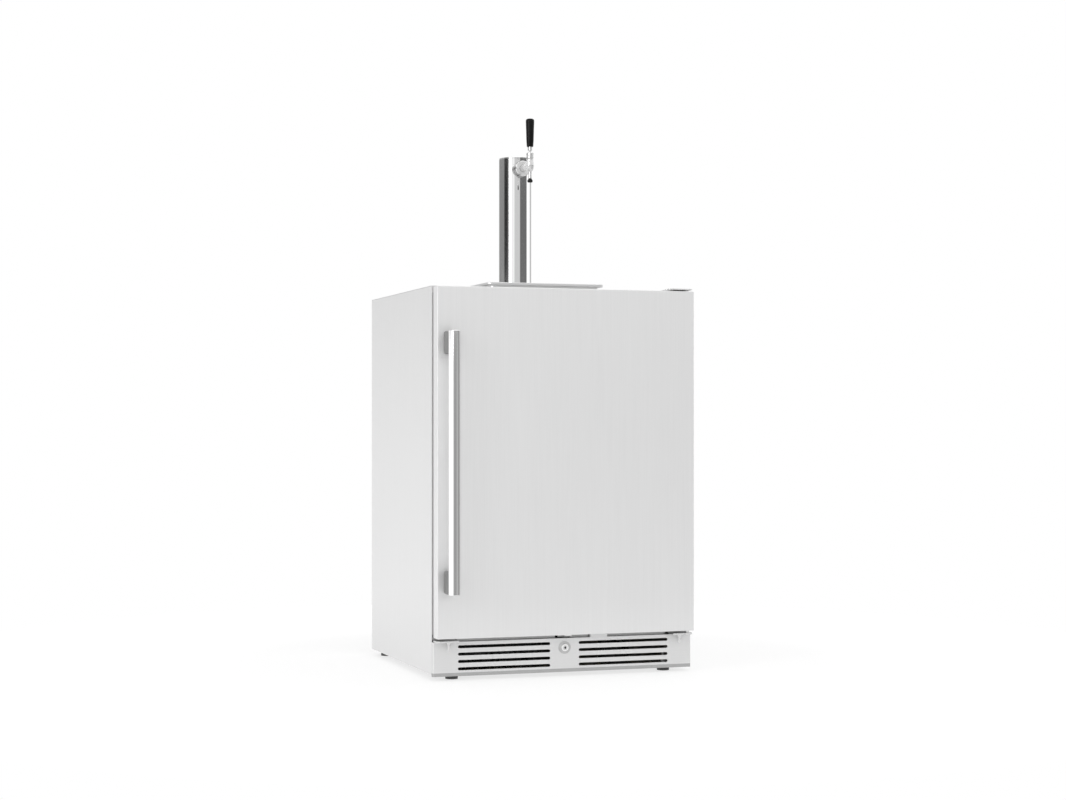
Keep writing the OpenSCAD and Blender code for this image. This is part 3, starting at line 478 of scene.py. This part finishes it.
def kick():
    """The slotted plate under the door, whose rolled lower lip takes a darker steel as painted
    shade, and the hinges.
    """
    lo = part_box("kick_plate")[0]
    plate = refined("kick_plate", kick_steel, 0.0003, 0.003, lambda at: at.y < lo.y + NEAR)
    roll_shade_z = lo.z + 8 * MM
    bm = bmesh.new()
    bm.from_mesh(plate.data)
    everything = bm.verts[:] + bm.edges[:] + bm.faces[:]
    bmesh.ops.bisect_plane(bm, geom=everything, plane_co=(0, 0, roll_shade_z), plane_no=(0, 0, 1))
    bm.to_mesh(plate.data)
    bm.free()
    # Below this height the plate takes the darker steel: painted shade on its rolled lip.
    repaint(plate, roll_painted_shade_steel, lambda face: face.center.z < roll_shade_z)
    refined("top_hinge_bracket", nut_steel, 0.0006)
    refined("bottom_hinge_brackets", satin_chrome, 0.0006)


def lock():
    """The fixed ring, dish, barrel and nut, and the turning plug with its keyhole shutter."""
    at = centre_of("lock_barrel")
    lo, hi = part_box("lock_barrel")
    face = lo.y
    here = Vector((at.x, 0, at.z))
    bore, nut_r = 5.06, 13
    depth = (hi.y - face) / MM
    plate = 5.0
    bm = bmesh.new()
    ring = rounded(mm([(bore, 0), (7.6, 0), (8.4, 1.2), (8.9, plate - 0.6), (8.9, plate),
                       (bore, plate)]), 0.5 * MM, 4, closed=True)
    lathe(bm, ring, here + Vector((0, face, 0)), "Y", 64, closed=True)
    piece("lock_ring", bm, "lock_barrel", polished)
    bm = bmesh.new()
    dish = rounded(mm([(8.4, plate - 0.7), (10.6, plate - 0.4), (12.6, plate - 1.2),
                       (14, plate - 0.9), (14, plate), (8.4, plate)]), 0.3 * MM, 4, closed=True)
    lathe(bm, dish, here + Vector((0, face, 0)), "Y", 64, closed=True)
    piece("lock_dish", bm, "lock_barrel", dish_steel)
    bm = bmesh.new()
    barrel = mm([(bore, plate), (9, plate), (9, depth), (bore, depth)])
    lathe(bm, rounded(barrel, 0.3 * MM, 3, closed=True), here + Vector((0, face, 0)), "Y", 64,
          closed=True)
    nut_at = face + (plate + 1.5) * MM
    prism(bm, hexagon(here.x, here.z, nut_r * MM), nut_at, nut_at + 4 * MM, "Y")
    piece("lock_body_and_nut", bm, "lock_barrel", dull_steel_and_painted_shade, 0.0003)
    refined("lock_plug", satin_chrome, 0.0002)
    bm = bmesh.new()
    rod(bm, 2.4 * MM, face + 0.35 * MM, face + 0.39 * MM, here, "Y", 0.00001, 32)
    piece("lock_keyhole_shutter", bm, "lock_plug", black_plastic)


def feet():
    """Each foot is a round pad with a hexagon, and a threaded stem."""
    for node in ("foot_front_left", "foot_front_right", "foot_rear_left", "foot_rear_right"):
        lo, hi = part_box(node)
        at = centre_of(node)
        axis = Vector((at.x, at.y, 0))
        r = (hi.x - lo.x) / 2
        bm = bmesh.new()
        pad = rounded([(0, 0), (r, 0), (r, 5 * MM), (r - 3 * MM, 8 * MM), (0, 8 * MM)],
                      0.8 * MM, 4)
        lathe(bm, pad, axis, segments=64)
        piece(node + "_pad", bm, node, foot_plastic)
        bm = bmesh.new()
        prism(bm, hexagon(at.x, at.y, 8 * MM), 8 * MM, 12.5 * MM)
        pitch = 1.25 * MM
        thread, z = [(0, 12 * MM)], 12 * MM
        while z < hi.z - pitch:
            thread += [(3.5 * MM, z), (3.95 * MM, z + 0.6 * MM)]
            z += pitch
        lathe(bm, thread + [(3.4 * MM, hi.z), (0, hi.z)], axis, segments=32)
        piece(node + "_stem", bm, node, satin_chrome, 0.0003)


# ---------------------------------------------------------------- tower and tap


def tower():
    """The polished column with its lid and its foot."""
    lo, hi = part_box("tower_column")
    axis = centre_of("tower_cap")
    axis.z = 0
    r = (hi.x - lo.x) / 2
    inner = r - 1.5 * MM
    bm = bmesh.new()
    lathe(bm, [(inner, lo.z), (r, lo.z), (r, hi.z), (inner, hi.z)], axis, segments=160,
          closed=True)
    piece("tower_tube", bm, "tower_column", polished)
    lo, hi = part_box("tower_cap")
    seam = 0.25 * MM
    lid_z = hi.z - 3 * MM
    bm = bmesh.new()
    lid = [(0, lid_z + seam), (r - seam, lid_z + seam), (r, lid_z + 2 * seam),
           (r, hi.z - 0.6 * MM), (r - 0.7 * MM, hi.z - 0.1 * MM), (r * 0.6, hi.z), (0, hi.z)]
    lathe(bm, rounded(lid, 0.4 * MM, 4), axis, segments=128)
    lathe(bm, [(r - 3.6 * MM, lo.z), (inner - 0.1 * MM, lo.z), (inner - 0.1 * MM, lid_z),
               (r - 3.6 * MM, lid_z)], axis, segments=96, closed=True)
    piece("tower_lid", bm, "tower_cap", polished)
    lo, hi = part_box("tower_flange")
    foot_z = lo.z + 8 * MM
    edge_r = (hi.x - lo.x) / 2
    bm = bmesh.new()
    skirt = [(25 * MM, lo.z), (edge_r, lo.z), (edge_r, foot_z - 2 * MM),
             (edge_r - 2 * MM, foot_z), (r + 2.2 * MM, foot_z), (r + 0.2 * MM, foot_z + 2 * MM),
             (r - 1.6 * MM, foot_z + 2 * MM), (r - 1.6 * MM, hi.z), (25 * MM, hi.z)]
    lathe(bm, rounded(skirt, 0.9 * MM, 5, closed=True), axis, segments=128, closed=True)
    piece("tower_foot", bm, "tower_flange", polished)


def fused(bm, voxel, rounds):
    """One smooth cast-looking skin round the overlapping solids of the mesh."""
    bmesh.ops.recalc_face_normals(bm, faces=bm.faces)
    mesh = bpy.data.meshes.new("casting")
    bm.to_mesh(mesh)
    bm.free()
    temp = bpy.data.objects.new("casting", mesh)
    bpy.context.scene.collection.objects.link(temp)
    skin = temp.modifiers.new("skin", "REMESH")
    skin.mode = "VOXEL"
    skin.voxel_size = voxel
    calm = temp.modifiers.new("calm", "SMOOTH")
    calm.factor = 0.5
    calm.iterations = rounds
    ready = temp.evaluated_get(bpy.context.evaluated_depsgraph_get())
    made = bmesh.new()
    made.from_mesh(ready.to_mesh())
    ready.to_mesh_clear()
    bpy.data.objects.remove(temp)
    return made


def tap():
    """The cast faucet body with its collar, bonnet, spout tip, shank, flange and nut."""
    bonnet_lo, bonnet_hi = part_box("faucet_bonnet")
    barrel = centre_of("faucet_bonnet")
    shank_z = centre_of("shank_flange").z
    spout_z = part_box("faucet_body")[0].z
    rear_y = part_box("faucet_body")[1].y
    nut_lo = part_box("coupling_nut")[0]
    upright = Vector((barrel.x, barrel.y, 0))
    level = Vector((barrel.x, 0, shank_z))
    bm = bmesh.new()
    stem = rounded([(0, barrel.y), (6.4 * MM, barrel.y), (7.6 * MM, barrel.y + 14 * MM),
                    (8.5 * MM, barrel.y + 26 * MM), (8.5 * MM, nut_lo.y + 3 * MM),
                    (0, nut_lo.y + 3 * MM)], 2 * MM)
    lathe(bm, stem, level, "Y", 64)
    body = rounded([(0, shank_z - 14 * MM), (4.2 * MM, shank_z - 14 * MM),
                    (7.6 * MM, shank_z - 9 * MM), (9.2 * MM, shank_z), (8.9 * MM, shank_z + 6 * MM),
                    (7.7 * MM, shank_z + 12 * MM), (7.7 * MM, bonnet_lo.z),
                    (0, bonnet_lo.z)], 2 * MM)
    lathe(bm, body, upright, "Z", 64)
    spout = [(0, spout_z), (3.9 * MM, spout_z), (3.9 * MM, shank_z - 10 * MM),
             (0, shank_z - 10 * MM)]
    lathe(bm, spout, upright, "Z", 48)
    piece("faucet_casting", fused(bm, 0.5 * MM, 6), "faucet_body", tap_chrome, angle=80)
    bm = bmesh.new()
    collar = [(0, nut_lo.y + 2.8 * MM), (10.5 * MM, nut_lo.y + 2.8 * MM), (10.5 * MM, rear_y),
              (0, rear_y)]
    lathe(bm, rounded(collar, 0.5 * MM), level, "Y", 64)
    piece("faucet_collar", bm, "faucet_body", satin_chrome)
    cap(upright, bonnet_lo.z, bonnet_hi.z)
    lo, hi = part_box("spout_tip")
    bm = bmesh.new()
    tip = [(2.6 * MM, lo.z), (5.2 * MM, lo.z), (6.35 * MM, lo.z + 2.6 * MM),
           (6.1 * MM, lo.z + 5 * MM), (4.2 * MM, hi.z - 1.2 * MM), (3.9 * MM, hi.z),
           (2.6 * MM, hi.z)]
    lathe(bm, rounded(tip, 0.9 * MM, 4, closed=True), upright, closed=True)
    piece("spout_aerator", bm, "spout_tip", black_plastic)
    refined("shank", satin_chrome, 0.0004)
    refined("shank_flange", dull_steel_and_painted_shade, 0.0007, segments=3)
    nut = refined("coupling_nut", nut_steel, 0.0005, segments=3)
    # The nut's side faces take the darker dull steel: a painted shade ring round its light front
    # face.
    repaint(nut, dull_steel_and_painted_shade, lambda face: abs(face.normal.y) < 0.5)


def cap(upright, z0, z1):
    """The faucet's bonnet, hollow for the lever's ball."""
    outer = 8.2 * MM
    bm = bmesh.new()
    shell = [(5.6 * MM, z0), (outer, z0), (outer, z0 + 4.2 * MM), (outer - 0.7 * MM, z0 + 4.8 * MM),
             (outer - 0.7 * MM, z0 + 5.6 * MM), (outer, z0 + 6.2 * MM), (outer, z1 - 1.4 * MM),
             (outer - 1.1 * MM, z1), (6.6 * MM, z1), (5.2 * MM, z0 + 9.6 * MM),
             (5.5 * MM, z0 + 7 * MM)]
    lathe(bm, rounded(shell, 0.25 * MM, 3, closed=True), upright, closed=True)
    piece("bonnet_shell", bm, "faucet_bonnet", tap_chrome)


def tap_lever():
    """The lever with the ball it tips on and its ferrule, and the black grip."""
    lo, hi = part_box("tap_lever")
    at = centre_of("tap_lever")
    axis = Vector((at.x, at.y, 0))
    pivot_z = lo.z + 7 * MM
    ferrule_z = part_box("tap_handle")[0].z
    ball = [(5 * MM * math.cos(a), pivot_z + 5 * MM * math.sin(a))
            for a in (math.radians(d) for d in range(-60, 61, 10))]
    bm = bmesh.new()
    shaft = [(0, lo.z), (2 * MM, lo.z), (2 * MM, ball[0][1])] + ball
    shaft += [(2.5 * MM, pivot_z + 9 * MM),
              (4.4 * MM, pivot_z + 10.4 * MM), (5.25 * MM, pivot_z + 11.6 * MM),
              (5.25 * MM, pivot_z + 14 * MM), (4.7 * MM, pivot_z + 14.5 * MM),
              (4.7 * MM, pivot_z + 15.2 * MM), (5.25 * MM, pivot_z + 15.7 * MM),
              (5.25 * MM, ferrule_z - 0.2 * MM), (4 * MM, ferrule_z), (4 * MM, hi.z), (0, hi.z)]
    lathe(bm, shaft, axis, segments=64)
    piece("lever_and_ferrule", bm, "tap_lever", polished)
    lo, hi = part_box("tap_handle")
    length = hi.z - lo.z
    bm = bmesh.new()
    grip = rounded([(0, lo.z), (6.8 * MM, lo.z), (7.7 * MM, lo.z + 1.2 * MM),
                    (8.6 * MM, lo.z + 0.25 * length), (9.2 * MM, lo.z + 0.6 * length),
                    (9.9 * MM, hi.z - 6 * MM), (9.6 * MM, hi.z - 2 * MM), (6.5 * MM, hi.z),
                    (0, hi.z)], [0, 1 * MM, 1 * MM, 9 * MM, 9 * MM, 2.5 * MM, 2 * MM, 2.5 * MM, 0],
                   6)
    lathe(bm, grip, axis, segments=96)
    piece("tap_handle_grip", bm, "tap_handle", black_gloss)


def tray():
    refined("drip_tray", tray_steel, 0.0012, segments=4)
    refined("drip_grate", tray_steel, 0.0005)


# ---------------------------------------------------------------- inside the cold room


def cold_room():
    refined("evaporator_cover", white_liner, 0.0015, segments=3)
    refined("evaporator_coil", aluminium, 0.0)
    refined("evaporator_fan_blade", grey_plastic, 0.0003)
    refined("wall_clips", grey_plastic, 0.0006)
    liner()
    panel()


def liner():
    """The liner with its inside corners rounded, as a moulded tub has them."""
    lo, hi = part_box("inner_liner")
    wall, rim, long_edge, corner = 2 * MM, 20 * MM, 100 * MM, 7 * MM
    bm = merged("inner_liner")
    inside_lo = lo + Vector((wall, rim, wall))
    inside_hi = hi - Vector((wall, wall, wall))

    def on_walls(point):
        """How many of the tub's inner walls the point lies on."""
        walls = [abs(point.x - inside_lo.x), abs(point.x - inside_hi.x),
                 abs(point.y - inside_hi.y), abs(point.z - inside_lo.z),
                 abs(point.z - inside_hi.z)]
        return sum(gap < NEAR for gap in walls)

    corners = [e for e in bm.edges if all(on_walls(v.co) > 1 for v in e.verts)
               and on_walls((e.verts[0].co + e.verts[1].co) / 2) > 1
               and e.calc_length() > long_edge]
    round_edges(bm, corners, corner)
    piece("liner_tub", bm, "inner_liner", white_liner, 0.0006)


def panel():
    """Control panel with five round touch keys, and the lamp strip behind it."""
    lo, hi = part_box("control_panel")
    front_y, face_z = lo.y + 12 * MM, lo.z
    bm = bmesh.new()
    side = [(lo.y, hi.z), (lo.y, hi.z - 6 * MM), (front_y, face_z), (lo.y + 74 * MM, face_z),
            (lo.y + 82 * MM, hi.z)]
    prism(bm, side, lo.x, hi.x, "X")
    piece("control_housing", bm, "control_panel", black_plastic, 0.0015, 3)
    bm = bmesh.new()
    for i in range(5):
        rod(bm, 5 * MM, face_z - 0.3 * MM, face_z + 1 * MM,
            Vector((lo.x + (35 + 20 * i) * MM, front_y + 12 * MM, 0)), edge=0.0001, segments=32)
    piece("control_keys", bm, "control_panel", dial_white)
    bm = bmesh.new()
    lamp = centre_of("control_panel")
    block(bm, (lamp.x - 60 * MM, hi.y - 20 * MM, hi.z - 6 * MM),
          (lamp.x + 60 * MM, hi.y, hi.z - 0.5 * MM))
    piece("lamp_strip", bm, "control_panel", lamp_white, 0.0015, 3)


def gauge(at, radius, name):
    """A round pressure gauge that faces the door: ring, dial, marks, pointer and glass."""
    deep = 24 * MM
    bm = bmesh.new()
    ring = [(0, 3.4 * MM), (radius - 2 * MM, 3.4 * MM), (radius - 2 * MM, 0), (radius, 0),
            (radius, deep), (0, deep)]
    lathe(bm, rounded(ring, [0, 0, 0.6 * MM, 0.6 * MM, 1 * MM, 0], 4), at, "Y", 64)
    piece(name + "_case", bm, "regulator_body", satin_chrome)
    bm = bmesh.new()
    rod(bm, radius - 2.1 * MM, 2.6 * MM, 3.2 * MM, at, "Y", 0.0001)
    piece(name + "_dial", bm, "regulator_body", dial_white)
    bm = bmesh.new()
    for k in range(25):
        turn = math.radians(-135 + 270 * k / 24)
        long = 3.4 * MM if k % 6 == 0 else 2 * MM
        out = Vector((math.sin(turn), 0, math.cos(turn)))
        across = Vector((math.cos(turn), 0, -math.sin(turn))) * 0.22 * MM
        far, near = out * (radius - 3.4 * MM), out * (radius - 3.4 * MM - long)
        mark = [at + p for p in (near - across, near + across, far + across, far - across)]
        low = [bm.verts.new(p + Vector((0, 2.6 * MM, 0))) for p in mark]
        high = [bm.verts.new(p + Vector((0, 2.4 * MM, 0))) for p in mark]
        bridge(bm, low, high)
        bm.faces.new(low)
        bm.faces.new(high)
    rod(bm, 1.4 * MM, 1.4 * MM, 2.5 * MM, at, "Y", 0.0001, 24)
    piece(name + "_marks", bm, "regulator_body", black_plastic)
    bm = bmesh.new()
    prism(bm, [(at.x - 0.5 * MM, at.z - 3 * MM), (at.x + 0.5 * MM, at.z - 3 * MM),
               (at.x - 7 * MM, at.z + 9 * MM)], at.y + 1.7 * MM, at.y + 2 * MM, "Y")
    piece(name + "_pointer", bm, "regulator_body", dial_red)
    bm = bmesh.new()
    rod(bm, radius - 2.05 * MM, 0.5 * MM, 1.2 * MM, at, "Y", 0.0001)
    piece(name + "_glass", bm, "regulator_body", dial_glass)


def gas():
    """The bottle with its valve, the regulator with two gauges, and the keg coupler."""
    knob = centre_of("cylinder_knob")
    lo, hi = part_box("co2_cylinder")
    axis = Vector((knob.x, knob.y, 0))
    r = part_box("wall_clips")[1].x - 3 * MM - knob.x
    height = 300 * MM
    shoulder = lo.z + height
    bm = bmesh.new()
    bottle = rounded([(0, lo.z + 3 * MM), (r - 18 * MM, lo.z), (r - 4 * MM, lo.z),
                      (r, lo.z + 8 * MM), (r, shoulder - 44 * MM), (r * 0.75, shoulder - 12 * MM),
                      (14 * MM, shoulder), (14 * MM, shoulder + 14 * MM),
                      (0, shoulder + 14 * MM)],
                     [0, 3 * MM, 6 * MM, 6 * MM, 30 * MM, 24 * MM, 4 * MM, 1 * MM, 0], 8)
    lathe(bm, bottle, axis, segments=128)
    piece("gas_bottle", bm, "co2_cylinder", aluminium)
    bm = bmesh.new()
    rod(bm, 11 * MM, shoulder + 14 * MM, hi.z, axis)
    valve_z = centre_of("regulator_knob").z
    rod(bm, 9 * MM, knob.x - 24 * MM, knob.x + 16 * MM, Vector((0, knob.y, valve_z)), "X")
    piece("bottle_valve", bm, "co2_cylinder", satin_chrome)
    refined("cylinder_knob", black_plastic, 0.0012, segments=3)
    refined("regulator_knob", black_plastic, 0.0006)
    reg = centre_of("regulator_knob")
    here = Vector((reg.x, 0, reg.z))
    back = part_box("regulator_knob")[1].y
    bm = bmesh.new()
    bell = rounded([(0, back), (12 * MM, back), (21 * MM, back + 10 * MM),
                    (21 * MM, knob.y + 16 * MM), (17 * MM, knob.y + 20 * MM),
                    (0, knob.y + 20 * MM)], 2 * MM)
    lathe(bm, bell, here, "Y", 96)
    rod(bm, 12 * MM, knob.x - 38 * MM, knob.x - 24 * MM, Vector((0, knob.y, reg.z)), "X",
        0.001, 6)
    rod(bm, 7 * MM, reg.x, knob.x - 38 * MM, Vector((0, knob.y, reg.z)), "X")
    rod(bm, 5 * MM, reg.z - 33 * MM, reg.z + 30 * MM, Vector((reg.x, knob.y, 0)))
    rod(bm, 5 * MM, reg.x - 30 * MM, reg.x, Vector((0, knob.y, reg.z)), "X")
    for k in range(3):
        z = reg.z - (24 + 3 * k) * MM
        rod(bm, 5.6 * MM, z - 1.2 * MM, z, Vector((reg.x, knob.y, 0)), edge=0.0006)
    rod(bm, 3 * MM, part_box("regulator_body")[0].y, back, here, "Y")
    piece("regulator_casting", bm, "regulator_body", satin_chrome, 0.0003)
    gauge(Vector((reg.x, knob.y - 12 * MM, reg.z + 46 * MM)), 19 * MM, "high_gauge")
    gauge(Vector((reg.x - 46 * MM, knob.y - 12 * MM, reg.z)), 19 * MM, "low_gauge")
    refined("keg_coupler", satin_chrome, 0.0006, segments=3)
    refined("coupler_handle", black_plastic, 0.0015, segments=3)


# Centre lines of the hoses and pipes, as the CAD model has them, with Y from the row's origin
BEER_ROUTE = [(0, 124.5, 1138), (0, 124.5, 1090), (0, 124.5, 985), (0, 122.5, 880),
              (-8, 118.5, 826), (-50, 96.5, 792), (-110, 60.5, 784), (-170, 22.5, 793),
              (-212, -8.5, 797), (-228, -21.5, 780), (-228, -21.5, 771), (-228, -21.5, 762)]
GAS_ROUTE = [(122, 216.5, 682), (122, 216.5, 674), (122, 216.5, 666), (106, 205.5, 652),
             (20, 182.5, 660), (-110, 164.5, 678), (-196, 96.5, 692), (-228, 40.5, 700),
             (-228, 23.5, 700), (-228, 7.5, 700)]
SUCTION_ROUTE = [(-100, 260.5, 499), (-100, 260.5, 470), (-100, 260.5, 240),
                 (-84, 258.5, 190), (-20, 255.5, 160), (36, 253.5, 134), (65, 252.5, 122)]
DISCHARGE_ROUTE = [(64, 252.5, 80), (30, 248.5, 76), (0, 218.5, 76), (-10, 158.5, 76),
                   (-10, -21.5, 76), (-14, -131.5, 76), (-22, -169.5, 74), (-44, -181.5, 72)]
LIQUID_ROUTE = [(-236, -181.5, 30), (-252, -161.5, 34), (-262, -91.5, 40), (-262, 158.5, 40),
                (-240, 228.5, 60), (-170, 256.5, 110), (-134, 260.5, 180), (-130, 260.5, 340),
                (-130, 260.5, 470), (-130, 260.5, 499)]


def line(name, route, radius, node, material, ends=()):
    """A hose or pipe along its route, and a clamp band near each of the listed ends."""
    path = smooth_path([Vector(p) * MM for p in route])
    bm = bmesh.new()
    tube(bm, path, radius)
    piece(name, bm, node, material, angle=60)
    for end in ends:
        k = 4 if end == "start" else len(path) - 5
        bm = bmesh.new()
        tube(bm, [path[k - 1], path[k], path[k + 1]], radius + 0.9 * MM, 32)
        ear = path[k] + Vector((radius + 2 * MM, 0, 0))
        block(bm, ear - Vector((2.5, 2, 2)) * MM, ear + Vector((2.5, 2, 2)) * MM)
        piece(name + "_clamp_" + end, bm, node, satin_chrome, 0.0003)


def lines():
    line("beer_hose", BEER_ROUTE, 5.5 * MM, "beer_line", clear_hose, ("start", "end"))
    line("gas_hose", GAS_ROUTE, 5 * MM, "gas_line", red_hose, ("start", "end"))
    line("suction_pipe", SUCTION_ROUTE, 4 * MM, "refrigerant_lines", copper)
    line("discharge_pipe", DISCHARGE_ROUTE, 3 * MM, "refrigerant_lines", copper)
    line("liquid_pipe", LIQUID_ROUTE, 3 * MM, "refrigerant_lines", copper)


def machine_bay():
    refined("condenser_coil", black_steel, 0.0)
    refined("condenser_fan_blade", black_plastic, 0.0003)
    refined("fan_motors", black_plastic, 0.0005)
    refined("compressor", black_steel, 0.0012, segments=3)
    refined("power_inlet", black_plastic, 0.0008, segments=3)


# ---------------------------------------------------------------- studio

YAW = math.radians(18.469)
CAMERA_AT = Vector((-1.4734, -4.4240, 0.5563))
CAMERA_LENS = 67.67
CAMERA_RISE = 0.0235
TO_CAMERA = Vector((-math.sin(YAW), -math.cos(YAW), 0))
TO_RIGHT = Vector((math.cos(YAW), -math.sin(YAW), 0))

# Three rows of upright flags that the studio shows only in reflections. A row is a list of
# azimuths in degrees, each with the grey level there, from behind on the left, past the camera
# at 0, to behind on the right. A band is the elevations in degrees where a row fades in, is
# full, starts to fade out and is gone.
LOW_BAND = (-8, -6.5, 3.0, 3.4)
LOW_FLAGS = [(-180, 0.95), (-138, 0.95), (-128, 1.15), (-28, 1.15), (-12, 0.36), (36, 0.33),
             (44, 0.5), (60, 0.5), (68, 0.34), (110, 0.36), (120, 1.0), (180, 1.0)]
HIGH_BAND = (3.0, 3.4, 8.4, 9.6)
HIGH_FLAGS = [(-180, 0.28), (-90, 0.25), (-80, 0.03), (-60, 0.03), (-53, 0.12), (-36, 0.72),
              (-26, 0.92), (-9, 0.96), (0, 0.62), (33, 0.62), (38, 0.15), (89, 0.15),
              (95, 1.1), (127, 1.1), (133, 0.55), (180, 0.5)]
GROUND_BAND = (-34, -30, -11, -9)
GROUND_FLAGS = [(-180, 0.95), (-166, 0.95), (-160, 0.3), (-144, 0.3), (-138, 0.95), (-78, 0.95),
                (-74, 0.45), (-64, 0.45), (-60, 0.95), (44, 0.95), (48, 0.45), (60, 0.45),
                (64, 0.95), (126, 0.95), (132, 0.4), (148, 0.4), (154, 0.95), (180, 0.95)]
# Grey level of the plain studio below, at and above eye level, and the floor's own glow
GROUND_LEVEL, HORIZON_LEVEL, ZENITH_LEVEL = 0.86, 1.12, 0.60
FLOOR_GLOW, FLOOR_GLOW_IN_REFLECTIONS = 1.12, 0.95


def camera():
    """A level camera whose frame is shifted instead of tilted, so upright edges stay upright."""
    data = bpy.data.cameras.new("camera")
    data.lens = CAMERA_LENS
    data.sensor_width = 36
    data.shift_y = CAMERA_RISE
    obj = bpy.data.objects.new("camera", data)
    obj.location = CAMERA_AT
    obj.rotation_euler = (math.pi / 2, 0, -YAW)
    bpy.context.scene.collection.objects.link(obj)
    bpy.context.scene.camera = obj


def flag_row(tree, turn, flags):
    """The grey that a row of upright flags shows in a direction; `turn` is its azimuth."""
    share = add(tree, "MapRange", {"Value": turn, "From Min": -math.pi, "From Max": math.pi})
    ramp = add(tree, "ValToRGB", {"Fac": share.outputs[0]})
    stops = ramp.color_ramp.elements
    while len(stops) > 1:
        stops.remove(stops[-1])
    for i, (degrees, level) in enumerate(flags):
        at = (degrees + 180) / 360
        stop = stops[0] if i == 0 else stops.new(at)
        stop.position = at
        stop.color = grey(level)
    return ramp.outputs["Color"]


def band(tree, height, elevations):
    """One between two elevations in degrees, with a soft edge at each."""
    start, full, end, gone = elevations
    spans = []
    for first, last in ((start, full), (gone, end)):
        made = add(tree, "MapRange", {"Value": height,
                                      "From Min": math.sin(math.radians(first)),
                                      "From Max": math.sin(math.radians(last))})
        spans.append(made.outputs[0])
    return add(tree, "Math", {0: spans[0], 1: spans[1]}, operation="MULTIPLY").outputs[0]


def world():
    """A white studio, with the rows of flags that only reflections show."""
    made = bpy.data.worlds.new("studio")
    bpy.context.scene.world = made
    made.use_nodes = True
    tree = made.node_tree
    tree.nodes.clear()
    way = add(tree, "TexCoord").outputs["Generated"]
    right = add(tree, "VectorMath", {0: way, 1: TO_RIGHT}, operation="DOT_PRODUCT")
    near = add(tree, "VectorMath", {0: way, 1: TO_CAMERA}, operation="DOT_PRODUCT")
    turn = add(tree, "Math", {0: right.outputs["Value"], 1: near.outputs["Value"]},
               operation="ARCTAN2").outputs[0]
    height = add(tree, "SeparateXYZ", {"Vector": way}).outputs["Z"]
    rise = add(tree, "MapRange", {"Value": height, "From Min": -0.15, "From Max": 0.15})
    wall = add(tree, "MixRGB", {"Fac": rise.outputs[0], "Color1": grey(GROUND_LEVEL),
                                "Color2": grey(HORIZON_LEVEL)})
    climb = add(tree, "MapRange", {"Value": height, "From Min": 0.2, "From Max": 0.8})
    plain = add(tree, "MixRGB", {"Fac": climb.outputs[0], "Color1": wall.outputs["Color"],
                                 "Color2": grey(ZENITH_LEVEL)})
    reflected = plain.outputs["Color"]
    rows = ((GROUND_BAND, GROUND_FLAGS), (LOW_BAND, LOW_FLAGS), (HIGH_BAND, HIGH_FLAGS))
    for elevations, flags in rows:
        row = add(tree, "MixRGB", {"Fac": band(tree, height, elevations), "Color1": reflected,
                                   "Color2": flag_row(tree, turn, flags)})
        reflected = row.outputs["Color"]
    eye = add(tree, "LightPath").outputs["Is Camera Ray"]
    seen = add(tree, "MixRGB", {"Fac": eye, "Color1": reflected, "Color2": grey(1.0)})
    back = add(tree, "Background", {"Color": seen.outputs["Color"], "Strength": 1.0})
    out = add(tree, "OutputWorld")
    tree.links.new(back.outputs["Background"], out.inputs["Surface"])


def softbox(name, at, target, width, height, power):
    """A rectangular area light that faces the target, with its power in watts."""
    data = bpy.data.lights.new(name, "AREA")
    data.shape = "RECTANGLE"
    data.size, data.size_y = width, height
    data.energy = power
    obj = bpy.data.objects.new(name, data)
    obj.location = at
    obj.rotation_euler = (Vector(target) - Vector(at)).to_track_quat("-Z", "Y").to_euler()
    bpy.context.scene.collection.objects.link(obj)


def floor():
    """A pale floor that turns into the white of the studio away from the object."""
    near, far, bare = 0.7, 1.5, 0.4
    material = bpy.data.materials.new("pale floor")
    material.use_nodes = True
    tree = material.node_tree
    shader = tree.nodes["Principled BSDF"]
    shader.inputs["Base Color"].default_value = grey(0.9)
    shader.inputs["Roughness"].default_value = 0.7
    place = add(tree, "TexCoord").outputs["Object"]
    length = add(tree, "VectorMath", {0: place}, operation="LENGTH")
    fade = add(tree, "MapRange", {"Value": length.outputs["Value"], "From Min": near,
                                  "From Max": far, "To Min": 1 - bare})
    eye = add(tree, "LightPath").outputs["Is Camera Ray"]
    power = add(tree, "MapRange", {"Value": eye, "To Min": FLOOR_GLOW_IN_REFLECTIONS,
                                   "To Max": FLOOR_GLOW})
    glow = add(tree, "Emission", {"Color": grey(1.0), "Strength": power.outputs[0]})
    mix = add(tree, "MixShader", {0: fade.outputs[0], 1: shader.outputs[0],
                                  2: glow.outputs[0]})
    tree.links.new(mix.outputs[0], tree.nodes["Material Output"].inputs["Surface"])
    bm = bmesh.new()
    bmesh.ops.create_circle(bm, cap_ends=True, segments=96, radius=far + 0.1)
    mesh = bpy.data.meshes.new("floor")
    bm.to_mesh(mesh)
    bm.free()
    mesh.materials.append(material)
    obj = bpy.data.objects.new("floor", mesh)
    obj.location.z = CAD_LO.z - 0.0002
    bpy.context.scene.collection.objects.link(obj)


bpy.context.scene.view_settings.view_transform = "Standard"
camera()
world()
softbox("left softbox", (-3.25, -2.15, 1.9), (0, 0, 0.7), 1.0, 2.2, 30)
softbox("overhead softbox", (0.3, -0.4, 3.2), (0, 0, 0.4), 3.0, 3.0, 22)
floor()
casing()
door()
handle()
kick()
lock()
feet()
tower()
tap()
tap_lever()
tray()
cold_room()
gas()
lines()
machine_bay()
